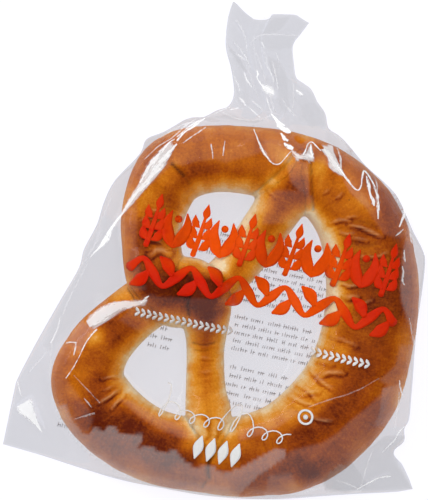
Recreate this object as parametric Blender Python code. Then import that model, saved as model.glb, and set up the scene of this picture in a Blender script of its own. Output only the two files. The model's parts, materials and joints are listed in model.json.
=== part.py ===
"""A knotted wheat kringle shut in a clear, gathered bag, lying face up.

The pack is one solid. Its outside is the film: flat underneath, drawn over the loaf on top and
sunk into its three holes, thin at its side folds and bottom seal, and gathered into a pleated neck
that flares again at the mouth. The loaf under the film is one tapered rope, so the height of the
film is found by letting a stretched sheet settle on that rope.

Frame: +Z up, X along the pack's width, +Y towards the neck. The origin is on the table, in the
middle of the pack's box.
"""

import math

import bmesh
import bpy
import numpy as np

MM = 0.001

# The rope of the kringle, end to end: x, y, half width and height of its underside, all in mm.
# It starts at its lower end on the ring, goes over and under itself in the knot, runs round the
# lower lobe, the thick belly and the upper lobe, and ends on top of the ring beside the neck.
ROPE = (
    (0, -160, 4, 25),
    (-2, -151, 8, 22),
    (-5, -140, 13, 16),
    (-8, -128, 18, 9),
    (-14, -110, 16, 2),
    (-21, -81, 14.5, 0),
    (-26, -57, 18, 8),
    (-31, -40, 20, 16),
    (-44, -31, 21, 13),
    (-62, -42, 22, 2),
    (-84, -65, 22, 0),
    (-103, -95, 25, 0),
    (-106, -124, 29.5, 0),
    (-85, -147, 30, 0),
    (-49, -162, 29, 0),
    (-9, -162, 29, 0),
    (34, -153, 33, 0),
    (70, -131, 38, 0),
    (96, -89, 39, 0),
    (102, -44, 37, 0),
    (96, 2, 36.5, 0),
    (77.5, 42.5, 34, 0),
    (48, 66, 30, 0),
    (11, 74, 28.5, 0),
    (-40, 70.5, 26.5, 0),
    (-74, 54, 28, 0),
    (-83.5, 21.5, 25.5, 0),
    (-79.5, -7.5, 23.5, 5),
    (-68, -34, 24, 13),
    (-50, -46, 22, 8),
    (-29, -35, 18, 0),
    (-9.5, -9, 17.5, 0),
    (5.5, 25, 18.5, 2),
    (17.5, 56, 19.5, 10),
    (19.5, 72, 12, 18),
    (20, 86, 6, 21),
)
ROPE_FLAT_HEIGHT = 12.0  # height of a rope of no width
ROPE_HEIGHT_RATIO = 0.95  # height gained for each mm of half width
ROPE_WAIST = 0.42  # where a rope is widest, as a share of its height
ROPE_POINTS_PER_SPAN = 9

# The bag's outline in mm, seen from above. The side folds run from the bottom seal to the mouth.
LEFT_FOLD = (
    (-163, -188),
    (-163, -168),
    (-163, -144),
    (-162, -133),
    (-153, -101),
    (-141, -63),
    (-133, -38),
    (-132, -22),
    (-126, -1),
    (-124, 18),
    (-119, 36),
    (-104, 60),
    (-101, 73),
    (-88, 82),
    (-72, 96),
    (-61, 99),
    (-51, 107),
    (-43, 112),
    (-41, 123),
    (-47, 141),
    (-55, 158),
    (-58, 180),
    (-57, 195),
)
RIGHT_FOLD = (
    (164, -155),
    (159, -147),
    (151, -137),
    (144, -132),
    (143, -127),
    (149, -119),
    (147, -109),
    (149, -101),
    (147, -85),
    (144, -65),
    (141, -46),
    (138, -22),
    (137, 2),
    (135, 24),
    (131, 33),
    (120, 46),
    (110, 60),
    (101, 71),
    (89, 79),
    (73, 88),
    (59, 99),
    (48, 107),
    (38, 111),
    (33, 122),
    (25, 130),
    (19, 138),
    (12, 142),
    (5, 145),
    (1, 155),
    (-3, 170),
    (1, 180),
    (6, 191),
)
BOTTOM_SEAL = (
    (-163, -188),
    (-132, -190),
    (-99, -193),
    (-66, -195),
    (-34, -194),
    (-1, -193),
    (31, -189),
    (62, -183),
    (93, -175),
    (124, -167),
    (151, -160),
    (164, -155),
)
MOUTH = (
    (-57, 195),
    (-53, 194),
    (-44, 187),
    (-37, 185),
    (-31, 186),
    (-24, 191),
    (-10, 195),
    (-2, 194),
    (6, 191),
)
SEAL_REACH = 0.12  # share of the bag's length over which the seal's bow fades out
MOUTH_REACH = 0.08  # the same for the mouth's uneven edge

# The film over the loaf.
FILM_CLEARANCE = 1.0
FILM_GRID_STEP = 3.0
FILM_SETTLING_ROUNDS = 900
HOLES = (  # the kringle's holes, as discs that cover them: x, y and radius
    (-32, 18, 36),
    (-57, -105, 42),
    (31, -34, 46),
    (15, -98, 38),
)
SUNK_HEIGHT = 12.0  # the film over a hole sinks towards this height
SINKING = 0.022  # share of its height above that which it loses in a settling round
FOLD_HEIGHT_LOOSE = 3.0  # a side fold far from the loaf lies near the table
FOLD_HEIGHT_TIGHT = 17.0  # one that the loaf stretches stands at half its height
FOLD_REACH = 12.0
FOLD_THICKNESS = 1.6
BACK_RISE_REACH = 24.0  # the back film leaves the table this far inside a fold

# The gathered neck.
NECK_START = 92.0
NECK_FULL = 122.0
NECK_AXIS_HEIGHTS = ((92, 18), (122, 16), (150, 12), (190, 6))
NECK_HALF_THICKNESSES = ((92, 8), (122, 8), (150, 6.5), (190, 4.2))
NECK_PLEATS = 4
NECK_PLEAT_SHARE = 0.26

# Folds that fan out from the gathering over the shoulders: direction in degrees from +X, length.
SHOULDER_FOLDS_FROM = (0.0, 112.0)
SHOULDER_FOLDS = (
    (-24, 105),
    (-38, 120),
    (-55, 78),
    (-78, 62),
    (-104, 58),
    (-128, 84),
    (-150, 112),
    (-163, 96),
)
SHOULDER_FOLD_HEIGHT = 2.6
SHOULDER_FOLD_HALF_WIDTH = 5.0

COLUMNS = 48
ROWS = 64

FILM_COLOUR = (0.80, 0.81, 0.85, 1.0)
FILM_ROUGHNESS = 0.15


def smooth_curve(points, per_span):
    """A Catmull-Rom curve through points of any number of values, as one row a point."""
    knots = np.array(points, float)
    first = 2 * knots[0] - knots[1]
    last = 2 * knots[-1] - knots[-2]
    padded = np.vstack([first, knots, last])
    rows = []
    for i in range(1, len(padded) - 2):
        before, start, end, after = padded[i - 1 : i + 3]
        for step in range(per_span):
            t = step / per_span
            rows.append(
                start
                + 0.5 * t * (end - before)
                + t * t * (before - 2.5 * start + 2 * end - 0.5 * after)
                + t * t * t * (1.5 * (start - end) + 0.5 * (after - before))
            )
    rows.append(knots[-1])
    return np.array(rows)


def smoothstep(low, high, value):
    t = np.clip((value - low) / (high - low), 0.0, 1.0)
    return t * t * (3 - 2 * t)


def rope_samples():
    """x, y, half width, underside and height along the rope."""
    curve = smooth_curve(ROPE, ROPE_POINTS_PER_SPAN)
    height = ROPE_FLAT_HEIGHT + ROPE_HEIGHT_RATIO * curve[:, 2]
    return np.column_stack([curve, height])


def loaf_heights(x, y):
    """Top and underside of the loaf over the points x, y. Off the loaf the top is 0 and the
    underside is infinite."""
    top = np.zeros_like(x)
    under = np.full_like(x, np.inf)
    for px, py, half_width, base, height in rope_samples():
        reach = half_width + FILM_CLEARANCE
        inside = 1 - ((x - px) ** 2 + (y - py) ** 2) / reach**2
        bulge = np.sqrt(np.clip(inside, 0, None))
        waist = base + ROPE_WAIST * height
        here = inside > 0
        over = waist + (1 - ROPE_WAIST) * height * bulge + FILM_CLEARANCE
        below = np.clip(waist - ROPE_WAIST * height * np.sqrt(bulge) - FILM_CLEARANCE, 0, None)
        top = np.where(here, np.maximum(top, over), top)
        under = np.where(here, np.minimum(under, below), under)
    return top, under


class FlatMap:
    """Heights on a square grid over the pack, read back between its points."""

    def __init__(self):
        corner_low = np.array([min(p[0] for p in LEFT_FOLD), min(p[1] for p in BOTTOM_SEAL)])
        corner_high = np.array([max(p[0] for p in RIGHT_FOLD), max(p[1] for p in LEFT_FOLD)])
        self.low = corner_low - 2 * FILM_GRID_STEP
        count = np.ceil((corner_high - corner_low) / FILM_GRID_STEP).astype(int) + 5
        across = self.low[0] + FILM_GRID_STEP * np.arange(count[0])
        along = self.low[1] + FILM_GRID_STEP * np.arange(count[1])
        self.x, self.y = np.meshgrid(across, along, indexing="ij")

    def read(self, values, x, y):
        fx = (x - self.low[0]) / FILM_GRID_STEP
        fy = (y - self.low[1]) / FILM_GRID_STEP
        ix = np.clip(fx.astype(int), 0, values.shape[0] - 2)
        iy = np.clip(fy.astype(int), 0, values.shape[1] - 2)
        tx, ty = fx - ix, fy - iy
        near = values[ix, iy] * (1 - tx) + values[ix + 1, iy] * tx
        far = values[ix, iy + 1] * (1 - tx) + values[ix + 1, iy + 1] * tx
        return near * (1 - ty) + far * ty


def x_of_fold(curve, y):
    """A side fold's x at height y up the pack. A fold never doubles back along Y."""
    return np.interp(y, curve[:, 1], curve[:, 0])


def outline_place(u, t):
    """x, y for a share u of the way across the bag and a share t of the way up it."""
    left = smooth_curve(LEFT_FOLD, 8)
    right = smooth_curve(RIGHT_FOLD, 8)
    left_y = left[0, 1] + t * (left[-1, 1] - left[0, 1])
    right_y = right[0, 1] + t * (right[-1, 1] - right[0, 1])
    left_x = x_of_fold(left, left_y)
    right_x = x_of_fold(right, right_y)
    x = left_x + u * (right_x - left_x)
    y = left_y + u * (right_y - left_y)
    for edge, nearness in ((BOTTOM_SEAL, 1 - t / SEAL_REACH), (MOUTH, 1 - (1 - t) / MOUTH_REACH)):
        bow = smooth_curve(edge, 8)
        start, end = bow[0], bow[-1]
        share = (bow[:, 0] - start[0]) / (end[0] - start[0])
        offset = bow[:, 1] - (start[1] + share * (end[1] - start[1]))
        y = y + np.interp(u, share, offset) * np.clip(nearness, 0, 1) ** 2
    return x, y


def fold_heights(x, y, loaf_distance):
    """How high a side fold or the seal stands, from its distance to the loaf."""
    tight = np.exp(-np.clip(loaf_distance, 0, None) / FOLD_REACH)
    height = FOLD_HEIGHT_LOOSE + (FOLD_HEIGHT_TIGHT - FOLD_HEIGHT_LOOSE) * tight
    neck_height = np.interp(y, *zip(*NECK_AXIS_HEIGHTS))
    return height + (neck_height - height) * smoothstep(NECK_START - 30, NECK_START, y)


def distance_to_loaf(x, y):
    nearest = np.full_like(x, np.inf)
    for px, py, half_width, _, _ in rope_samples():
        nearest = np.minimum(nearest, np.hypot(x - px, y - py) - half_width)
    return nearest


def outline_mask(flat):
    """True where a point of the flat map lies inside the bag's outline."""
    left = smooth_curve(LEFT_FOLD, 8)
    right = smooth_curve(RIGHT_FOLD, 8)
    bottom = smooth_curve(BOTTOM_SEAL, 8)
    between = (flat.x > x_of_fold(left, flat.y)) & (flat.x < x_of_fold(right, flat.y))
    return between & (flat.y > np.interp(flat.x, bottom[:, 0], bottom[:, 1]))


def settle_film(flat):
    """The front film: a stretched sheet held at the folds, pushed up by the loaf and sinking
    into its holes."""
    top, _ = loaf_heights(flat.x, flat.y)
    inside = outline_mask(flat) & (flat.y < NECK_FULL)
    held = fold_heights(flat.x, flat.y, distance_to_loaf(flat.x, flat.y))
    neck_front = np.interp(flat.y, *zip(*NECK_HALF_THICKNESSES))
    held = held + np.where(flat.y > NECK_FULL, neck_front, 0)
    film = np.where(inside, np.maximum(top, held), held)
    sinking = np.zeros_like(film)
    for x, y, radius in HOLES:
        sinking[np.hypot(flat.x - x, flat.y - y) < radius] = SINKING
    for _ in range(FILM_SETTLING_ROUNDS):
        mean = film.copy()
        mean[1:-1, 1:-1] = 0.25 * (
            film[2:, 1:-1] + film[:-2, 1:-1] + film[1:-1, 2:] + film[1:-1, :-2]
        )
        mean += sinking * (SUNK_HEIGHT - mean)
        film = np.where(inside, np.maximum(top, mean), held)
    return film


def shoulder_folds(x, y):
    """Height of the folds that fan out from the gathering."""
    rise = np.zeros_like(x)
    from_x = x - SHOULDER_FOLDS_FROM[0]
    from_y = y - SHOULDER_FOLDS_FROM[1]
    for direction, length in SHOULDER_FOLDS:
        angle = math.radians(direction)
        along = from_x * math.cos(angle) + from_y * math.sin(angle)
        off = np.abs(from_y * math.cos(angle) - from_x * math.sin(angle))
        spread = SHOULDER_FOLD_HALF_WIDTH * (0.5 + np.clip(along / length, 0, 1))
        fade = smoothstep(-12, 10, along) * (1 - smoothstep(0.55 * length, length, along))
        crest = np.clip(1 - off / spread, 0, 1)
        rise = np.maximum(rise, SHOULDER_FOLD_HEIGHT * fade * crest * crest * (3 - 2 * crest))
    return rise


def neck_shape(u, y):
    """Front and back height of the gathered neck at a share u of the way across it."""
    axis = np.interp(y, *zip(*NECK_AXIS_HEIGHTS))
    half = np.interp(y, *zip(*NECK_HALF_THICKNESSES)) * np.sqrt(np.sin(np.pi * np.clip(u, 0, 1)))
    drift = 0.011 * (y - NECK_START)
    front_wave = np.cos(2 * np.pi * (NECK_PLEATS * u + drift))
    back_wave = np.cos(2 * np.pi * (NECK_PLEATS * u + 0.4 - drift))
    front = axis + half * (1 + NECK_PLEAT_SHARE * front_wave)
    back = axis - half * (1 + NECK_PLEAT_SHARE * back_wave)
    return front, np.maximum(back, 0.3)


def film_heights(flat, film, u, t):
    """x, y, front height and back height of the bag at the shares u and t."""
    x, y = outline_place(u, t)
    axis = fold_heights(x, y, distance_to_loaf(x, y))
    front = flat.read(film, x, y) + shoulder_folds(x, y)
    rim_x, rim_y = rim_points()
    from_rim = np.full_like(x, np.inf)
    rim_height = np.zeros_like(x)
    rim_axis = fold_heights(rim_x, rim_y, distance_to_loaf(rim_x, rim_y))
    for px, py, pz in zip(rim_x, rim_y, rim_axis):
        distance = np.hypot(x - px, y - py)
        closer = distance < from_rim
        from_rim = np.where(closer, distance, from_rim)
        rim_height = np.where(closer, pz, rim_height)
    rise = np.clip(1 - from_rim / BACK_RISE_REACH, 0, 1) ** 2
    _, under = loaf_heights(x, y)
    back = np.minimum((rim_height - FOLD_THICKNESS / 2) * rise, under)
    neck_front, neck_back = neck_shape(u, y)
    gathered = smoothstep(NECK_START, NECK_FULL, y)
    front = front + (neck_front - front) * gathered
    back = back + (neck_back - back) * gathered
    edge = (u < 1e-6) | (u > 1 - 1e-6) | (t < 1e-6)
    front = np.where(edge, axis + FOLD_THICKNESS / 2, np.maximum(front, back + FOLD_THICKNESS))
    back = np.where(edge, axis - FOLD_THICKNESS / 2, back)
    back = np.where(back < 0.02, 0.0, back)
    return x, y, front, back


def rim_points():
    """Points all along the two side folds and the seal."""
    steps = np.linspace(0, 1, 140)
    zero, one = np.zeros_like(steps), np.ones_like(steps)
    sides = [outline_place(zero, steps), outline_place(one, steps), outline_place(steps, zero)]
    return np.concatenate([s[0] for s in sides]), np.concatenate([s[1] for s in sides])


def film_sheet(mesh, flat, film, is_front):
    """One face of the bag as a grid of quads, laid out and lifted to the film's height."""
    made = bmesh.ops.create_grid(mesh, x_segments=COLUMNS, y_segments=ROWS, size=0.5)
    sheet = made["verts"]
    u = np.array([v.co.x + 0.5 for v in sheet])
    t = np.array([v.co.y + 0.5 for v in sheet])
    x, y, front, back = film_heights(flat, film, u, t)
    z = front if is_front else back
    for vertex, px, py, pz in zip(sheet, x, y, z):
        vertex.co = (px * MM, py * MM, pz * MM)
    return sheet


def join_flat_underside(mesh, sheet):
    """Makes the part of the back that lies on the table one face."""
    lying = {v for v in sheet if v.co.z == 0.0}
    flat_faces = [f for f in mesh.faces if all(v in lying for v in f.verts)]
    bmesh.ops.dissolve_faces(mesh, faces=flat_faces, use_verts=False)


def make_bag():
    """The filled bag as one closed solid."""
    flat = FlatMap()
    film = settle_film(flat)
    mesh = bmesh.new()
    film_sheet(mesh, flat, film, is_front=True)
    back = film_sheet(mesh, flat, film, is_front=False)
    bmesh.ops.bridge_loops(mesh, edges=[e for e in mesh.edges if e.is_boundary])
    join_flat_underside(mesh, back)
    bmesh.ops.recalc_face_normals(mesh, faces=mesh.faces)
    data = bpy.data.meshes.new("bag")
    mesh.to_mesh(data)
    mesh.free()
    data.shade_smooth()
    data.set_sharp_from_angle(angle=math.radians(50))
    bag = bpy.data.objects.new("bag", data)
    bpy.context.scene.collection.objects.link(bag)
    bag.data.materials.append(film_material())
    return bag


def film_material():
    """Clear bag film, slightly grey where it has several layers."""
    material = bpy.data.materials.new("bag_film")
    material.use_nodes = True
    shader = material.node_tree.nodes["Principled BSDF"]
    shader.inputs["Base Color"].default_value = FILM_COLOUR
    shader.inputs["Roughness"].default_value = FILM_ROUGHNESS
    shader.inputs["Metallic"].default_value = 0.0
    return material


def clear_scene():
    for thing in list(bpy.data.objects):
        bpy.data.objects.remove(thing)


def main():
    clear_scene()
    make_bag()


main()
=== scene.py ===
"""The finish of a bagged kringle: its crust and creases, the clear film drawn over it, the ink on
the film, and the plain stage that it is seen on.

Sizes are millimetres in the pack's own frame: X across the bag, Y towards the neck, Z up out of
the printed front.
"""

import functools
import json
import math

import bmesh
import bpy
import numpy as np
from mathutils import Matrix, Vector, noise
from mathutils.bvhtree import BVHTree

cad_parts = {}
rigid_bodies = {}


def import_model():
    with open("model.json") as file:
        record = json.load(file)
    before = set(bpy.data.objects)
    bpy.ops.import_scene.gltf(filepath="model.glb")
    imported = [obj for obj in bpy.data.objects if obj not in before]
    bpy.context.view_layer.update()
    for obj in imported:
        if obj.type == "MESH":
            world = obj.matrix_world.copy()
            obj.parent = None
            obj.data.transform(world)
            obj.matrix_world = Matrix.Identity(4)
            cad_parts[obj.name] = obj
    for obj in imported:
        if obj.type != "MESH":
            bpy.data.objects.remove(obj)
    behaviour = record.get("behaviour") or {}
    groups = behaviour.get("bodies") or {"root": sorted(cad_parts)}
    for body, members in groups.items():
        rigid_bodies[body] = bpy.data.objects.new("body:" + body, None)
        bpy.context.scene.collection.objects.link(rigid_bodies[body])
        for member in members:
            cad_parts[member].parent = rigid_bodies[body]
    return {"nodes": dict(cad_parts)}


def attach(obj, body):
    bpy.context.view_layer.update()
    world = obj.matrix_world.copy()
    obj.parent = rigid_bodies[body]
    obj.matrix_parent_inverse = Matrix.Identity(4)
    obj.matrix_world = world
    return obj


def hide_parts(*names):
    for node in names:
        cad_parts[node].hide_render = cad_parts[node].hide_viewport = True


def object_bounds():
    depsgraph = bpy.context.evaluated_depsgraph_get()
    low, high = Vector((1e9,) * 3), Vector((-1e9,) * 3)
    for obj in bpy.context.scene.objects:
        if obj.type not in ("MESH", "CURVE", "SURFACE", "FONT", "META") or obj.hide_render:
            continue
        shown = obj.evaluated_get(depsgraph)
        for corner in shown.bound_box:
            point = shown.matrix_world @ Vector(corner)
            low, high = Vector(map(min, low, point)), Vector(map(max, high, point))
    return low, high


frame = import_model()
CAD_BOX = [list(corner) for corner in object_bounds()]

bl_info = {
    "name": "Bagged kringle",
    "version": (1, 0, 0),
    "blender": (4, 5, 0),
    "location": "3D View > Sidebar > Kringle",
    "description": "Makes a knotted wheat kringle in a clear printed bag",
    "category": "Object",
}

MM = 0.001

# In metres: where rays start, above the pack or as far below it, and the heights at which a ray
# that goes past looks for the solid's rim and for the film's edge.
RAY_START = 1.0
RIM_HEIGHT = 0.015
FILM_EDGE_HEIGHT = 0.005

FLOOR_REACH = 4.0  # metres to each side
FLOOR_DROP = 0.4  # under the pack
SENSOR_WIDTH = 36.0
VIEW_LIMIT = 20.0  # metres
OVERHEAD = (0.04, 0.04, 0.045, 1)
SURROUND = (0.75, 0.77, 0.80, 1)

# The photograph's camera, straight above the pack: its place and height in mm, its turn, the
# height that is framed, and the length that the picture's height shows there.
CAMERA_X = -30.58
CAMERA_Y = -1.52
CAMERA_HEIGHT = 1250.0
CAMERA_ROLL = math.radians(12)
SUBJECT_HEIGHT = 30.0
FRAMED_LENGTH = 390.0
PHOTO_WIDTH = 428
PHOTO_HEIGHT = 500
PIXEL = FRAMED_LENGTH / PHOTO_HEIGHT
CRUST_DEPTH = 1.5  # how far the crust lies under the front of the pack
MIDDLE_HEIGHT = 20.0  # where the search for a pixel's place starts
SEEK_ROUNDS = 6

# The rope of the kringle, end to end: x, y, half width and height of its underside.
ROPE = (
    (0, -160, 4, 25), (-2, -151, 8, 22), (-5, -140, 13, 16), (-8, -128, 18, 9), (-14, -110, 16, 2),
    (-20.6, -81, 15, 0), (-25.2, -57, 18.8, 8), (-30.4, -40, 20.8, 16), (-44, -31, 21, 13),
    (-62, -42, 22, 2), (-84, -65, 22, 0), (-103, -95, 25, 0), (-106, -124, 29.5, 0),
    (-85, -147, 30, 0), (-49, -162, 29, 0), (-9, -162, 29, 0), (34, -153, 33, 0), (70, -131, 38, 0),
    (96, -89, 39, 0), (102, -44, 37, 0), (96, 2, 36.5, 0), (77.5, 42.5, 34, 0), (48, 66, 30, 0),
    (11, 74, 28.5, 0), (-40, 70.5, 26.5, 0), (-74, 54, 28, 0), (-83.5, 21.5, 25.5, 0),
    (-79.5, -7.5, 23.5, 5), (-68, -34, 24, 13), (-50, -46, 22, 8), (-29, -35, 18, 0),
    (-9.5, -9, 17.5, 0), (5.5, 25, 18.5, 2), (17.5, 56, 19.5, 10), (19.5, 72, 12, 18),
    (20, 86, 6, 21),
)
ROPE_FLAT_HEIGHT = 12.0
ROPE_HEIGHT_RATIO = 0.95
ROPE_WAIST = 0.42
ROPE_POINTS_PER_SPAN = 7
ROPE_SIDES = 30
ROPE_SIDE_POWER = 0.8  # under 1 makes the flanks of the rope fuller
ROPE_FOOT_POWER = 0.5  # under 1 makes the underside flatter
KNEADING = 4  # rounds that smooth the steps of the remeshed dough
HOLLOW_ROUNDS = 12  # rounds that smooth the form that valleys are measured against
LOAF_LIFT = 0.6  # clear of the back film
LOAF_SQUEEZE = 0.985  # keeps the top under the front film
LOAF_MAP = (-160, 162, -205, 122)  # left, right, front and back of the map of the loaf
MAP_STEP = 2.0
RIM_REACH = 190  # the part of the map round the loaf that matters to its rim

# What was traced is kept as pixels of the photograph, x to the right and y down, and
# from_photo gives their places on the pack.
# Cracks and pressed lines in the crust: their points, depth and half width in mm, and darkness,
# which is painted shade at their bottom.
CRACKS = (
    (((172, 164), (180, 172), (184, 176)), 2.6, 1.3, 0.9),
    (((184, 176), (190, 184)), 1.4, 0.9, 0.5),
    (((127, 289), (131, 295), (134, 301)), 1.4, 0.9, 0.5),
    (((131, 288), (135, 294), (139, 300)), 1, 0.9, 0.4),
    (((189, 279), (190, 290), (188, 299), (187, 307), (188, 316)), 2.6, 1.2, 0.85),
    (((252, 196), (261, 188), (270, 180), (283, 168), (293, 154)), 1.5, 1.2, 0.35),
    (((309, 152), (311, 165), (312, 185), (313, 210)), 1.8, 1, 0.55),
    (((186, 417), (191, 426), (199, 441), (206, 454), (210, 459)), 1.1, 1.1, 0.35),
    (((236, 417), (229, 430), (221, 444), (214, 456), (210, 459)), 1.1, 1.1, 0.35),
    (((209, 460), (208, 468), (208, 474), (209, 479)), 3, 1.5, 0.9),
    (((209, 479), (205, 483), (202, 488)), 1.6, 1, 0.6),
    (((193, 343), (203, 345), (214, 343)), 1.1, 0.9, 0.5),
    (((195, 350), (201, 351), (208, 350)), 0.8, 0.8, 0.3),
    (((209, 412), (210, 425), (211, 440)), 1.2, 2.2, 0.12),
    (((184, 258), (200, 262), (213, 270), (222, 280), (228, 292), (229, 303)), 0.8, 1.6, 0),
    (((142, 298), (150, 307), (158, 318), (168, 327)), 0.5, 1.6, 0),
    (((150, 233), (156, 236), (163, 235)), 1, 1.4, 0.3),
    (((352, 221), (366, 223), (378, 228)), 1, 1.6, 0.25),
    (((352, 244), (366, 246), (376, 243)), 0.8, 1.5, 0.25),
)

# Puckers of the dough that catch the light: their points, height and half width in mm. Each gets
# painted shade below it and a painted highlight on its crest.
RIDGES = (
    (((345, 218), (351, 217), (357, 217)), 0.8, 1),
    (((330, 223), (341, 220), (350, 221)), 0.8, 1.3),
    (((349, 225), (365, 229), (382, 237)), 0.9, 1.3),
    (((340, 231), (345, 234), (353, 233)), 0.9, 1.1),
    (((352, 238), (366, 240)), 0.6, 1.6),
    (((358, 256), (374, 257), (388, 252)), 0.5, 1.2),
    (((340, 281), (350, 286), (365, 283)), 0.9, 1.3),
    (((345, 297), (356, 297)), 1.1, 2),
    (((362, 304), (372, 300)), 0.6, 1.4),
    (((324, 193), (328, 190)), 0.8, 1.2),
    (((337, 198), (342, 194)), 1, 1.1),
    (((333, 337), (345, 341), (357, 346)), 0.5, 1.5),
    (((319, 359), (331, 363)), 0.6, 2),
    (((312, 371), (322, 382), (331, 387)), 1, 1.6),
    (((320, 375), (330, 372), (343, 373)), 1, 1.8),
    (((299, 384), (309, 392), (317, 401)), 0.7, 1.3),
    (((302, 394), (318, 391)), 0.9, 1.6),
    (((291, 396), (303, 402), (313, 405)), 0.9, 1.3),
    (((308, 415), (320, 420), (331, 421)), 0.7, 1.4),
    (((102, 379), (111, 377), (119, 377)), 0.9, 1),
    (((100, 403), (109, 397), (119, 390)), 1.2, 1.2),
    (((112, 409), (118, 401), (124, 396)), 1, 1.2),
    (((104, 390), (114, 386)), 0.6, 1.2),
    (((140, 220), (149, 217), (156, 219)), 1, 1),
    (((148, 226), (156, 227), (166, 229)), 1, 1.5),
    (((143, 233), (150, 239), (160, 241)), 1.2, 1.5),
    (((150, 210), (162, 212)), 0.7, 1.2),
    (((150, 255), (160, 250), (170, 254)), 0.8, 2.2),
    (((268, 190), (275, 197)), 0.8, 1),
    (((203, 424), (204, 434)), 0.8, 2.6),
    (((216, 424), (214, 434)), 0.7, 2.4),
    (((198, 357), (210, 358)), 0.4, 1.3),
    (((200, 372), (212, 371)), 0.4, 1.4),
    (((255, 225), (262, 230)), 0.4, 1.3),
)

# Places made darker or lighter than the rest: x, y, reach in pixels, and change. The dark ones
# where the strands cross stand partly for painted shade.
TONE_SPOTS = (
    (185, 287, 22, 0.42), (215, 290, 16, 0.42), (150, 288, 18, 0.22), (205, 318, 16, 0.2),
    (206, 350, 16, 0.05), (208, 395, 22, -0.14), (212, 434, 14, -0.2), (350, 190, 26, -0.14),
    (385, 285, 22, 0.1), (385, 320, 18, 0.08), (300, 462, 20, 0.14), (140, 430, 22, 0.1),
    (262, 207, 14, -0.12), (248, 242, 15, -0.52), (195, 172, 22, 0.08), (217, 172, 14, 0.14),
    (245, 172, 16, 0.05), (182, 146, 16, -0.16), (208, 142, 16, -0.2), (274, 147, 12, -0.26),
    (240, 146, 18, -0.2), (288, 157, 10, -0.46), (306, 168, 12, -0.1), (284, 172, 8, -0.1),
    (273, 181, 8, -0.44), (282, 203, 11, 0.1), (362, 197, 9, -0.14), (320, 186, 9, -0.1),
    (321, 166, 11, -0.36), (306, 137, 9, -0.24), (300, 186, 12, 0.12), (146, 198, 13, -0.26),
    (346, 158, 16, 0.04), (396, 204, 16, 0.16), (176, 206, 8, 0.2), (195, 430, 9, -0.36),
    (229, 430, 8, -0.28), (165, 442, 20, 0.16), (335, 432, 26, 0.1), (375, 300, 24, 0.1),
    (112, 335, 16, 0.06), (77, 352, 9, -0.26), (74, 372, 12, -0.22), (96, 338, 9, -0.34),
    (96, 386, 15, 0.12), (98, 414, 12, 0.2), (128, 391, 7, -0.16), (90, 340, 9, -0.2),
    (74, 392, 12, -0.18), (128, 194, 16, -0.08), (134, 212, 14, -0.2), (129, 236, 14, -0.02),
    (125, 292, 14, -0.28), (188, 262, 8, -0.16), (222, 268, 11, -0.62), (227, 286, 8, -0.26),
    (313, 213, 8, -0.34), (322, 232, 10, -0.34), (332, 262, 12, -0.7), (334, 304, 13, -0.66),
    (140, 308, 12, -0.24), (176, 328, 12, -0.26), (192, 356, 8, -0.22), (224, 311, 9, 0.24),
    (219, 340, 8, 0.06), (219, 376, 8, 0.1), (199, 187, 7, -0.14), (221, 186, 8, -0.18),
    (243, 187, 8, -0.24), (366, 368, 16, 0.16), (345, 462, 14, 0.06), (312, 474, 12, 0.06),
    (356, 396, 14, 0.12), (334, 404, 9, 0.12), (396, 408, 12, 0.1), (303, 434, 14, 0.16),
    (155, 446, 15, 0.14), (320, 394, 12, -0.4), (304, 409, 10, -0.32), (289, 418, 9, -0.24),
    (330, 374, 10, -0.1), (392, 400, 9, -0.1), (66, 414, 10, -0.2), (402, 350, 16, -0.16),
    (398, 385, 16, -0.18), (115, 424, 16, 0.16), (140, 474, 18, -0.18), (208, 440, 16, -0.22),
    (216, 456, 8, -0.2), (275, 457, 9, -0.08), (294, 484, 10, -0.2), (220, 486, 18, -0.18),
    (205, 410, 10, -0.24), (220, 152, 10, -0.12), (341, 350, 10, -0.24), (345, 447, 14, -0.14),
    (361, 438, 11, -0.14), (334, 420, 14, 0.08), (284, 464, 11, 0.12), (191, 415, 7, -0.14),
    (188, 444, 8, -0.18), (331, 240, 9, -0.22), (329, 282, 9, -0.34), (99, 331, 9, -0.18),
    (404, 332, 10, -0.14), (148, 186, 9, -0.16), (164, 176, 9, -0.18), (176, 162, 9, -0.18),
    (344, 176, 9, -0.18), (372, 206, 10, -0.14), (288, 190, 7, 0.12), (302, 204, 8, 0.14),
    (244, 222, 8, -0.14), (258, 222, 8, -0.14), (176, 414, 9, 0.12), (232, 402, 7, 0.16),
    (218, 388, 7, 0.1), (190, 330, 9, -0.12), (204, 330, 9, -0.1), (134, 330, 9, 0.18),
    (120, 344, 10, 0.14), (120, 304, 10, -0.14), (136, 302, 9, -0.14), (400, 402, 10, -0.16),
    (330, 246, 8, -0.16), (360, 232, 8, 0.1), (232, 430, 8, -0.06), (120, 400, 9, -0.1),
    (134, 428, 10, 0.14), (176, 458, 10, 0.1), (190, 458, 9, 0.1), (246, 458, 9, 0.1),
    (372, 176, 8, 0.12), (162, 430, 8, -0.12), (232, 444, 8, -0.12), (274, 428, 9, -0.14),
    (358, 346, 9, 0.1), (386, 346, 9, 0.1),
)

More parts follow.
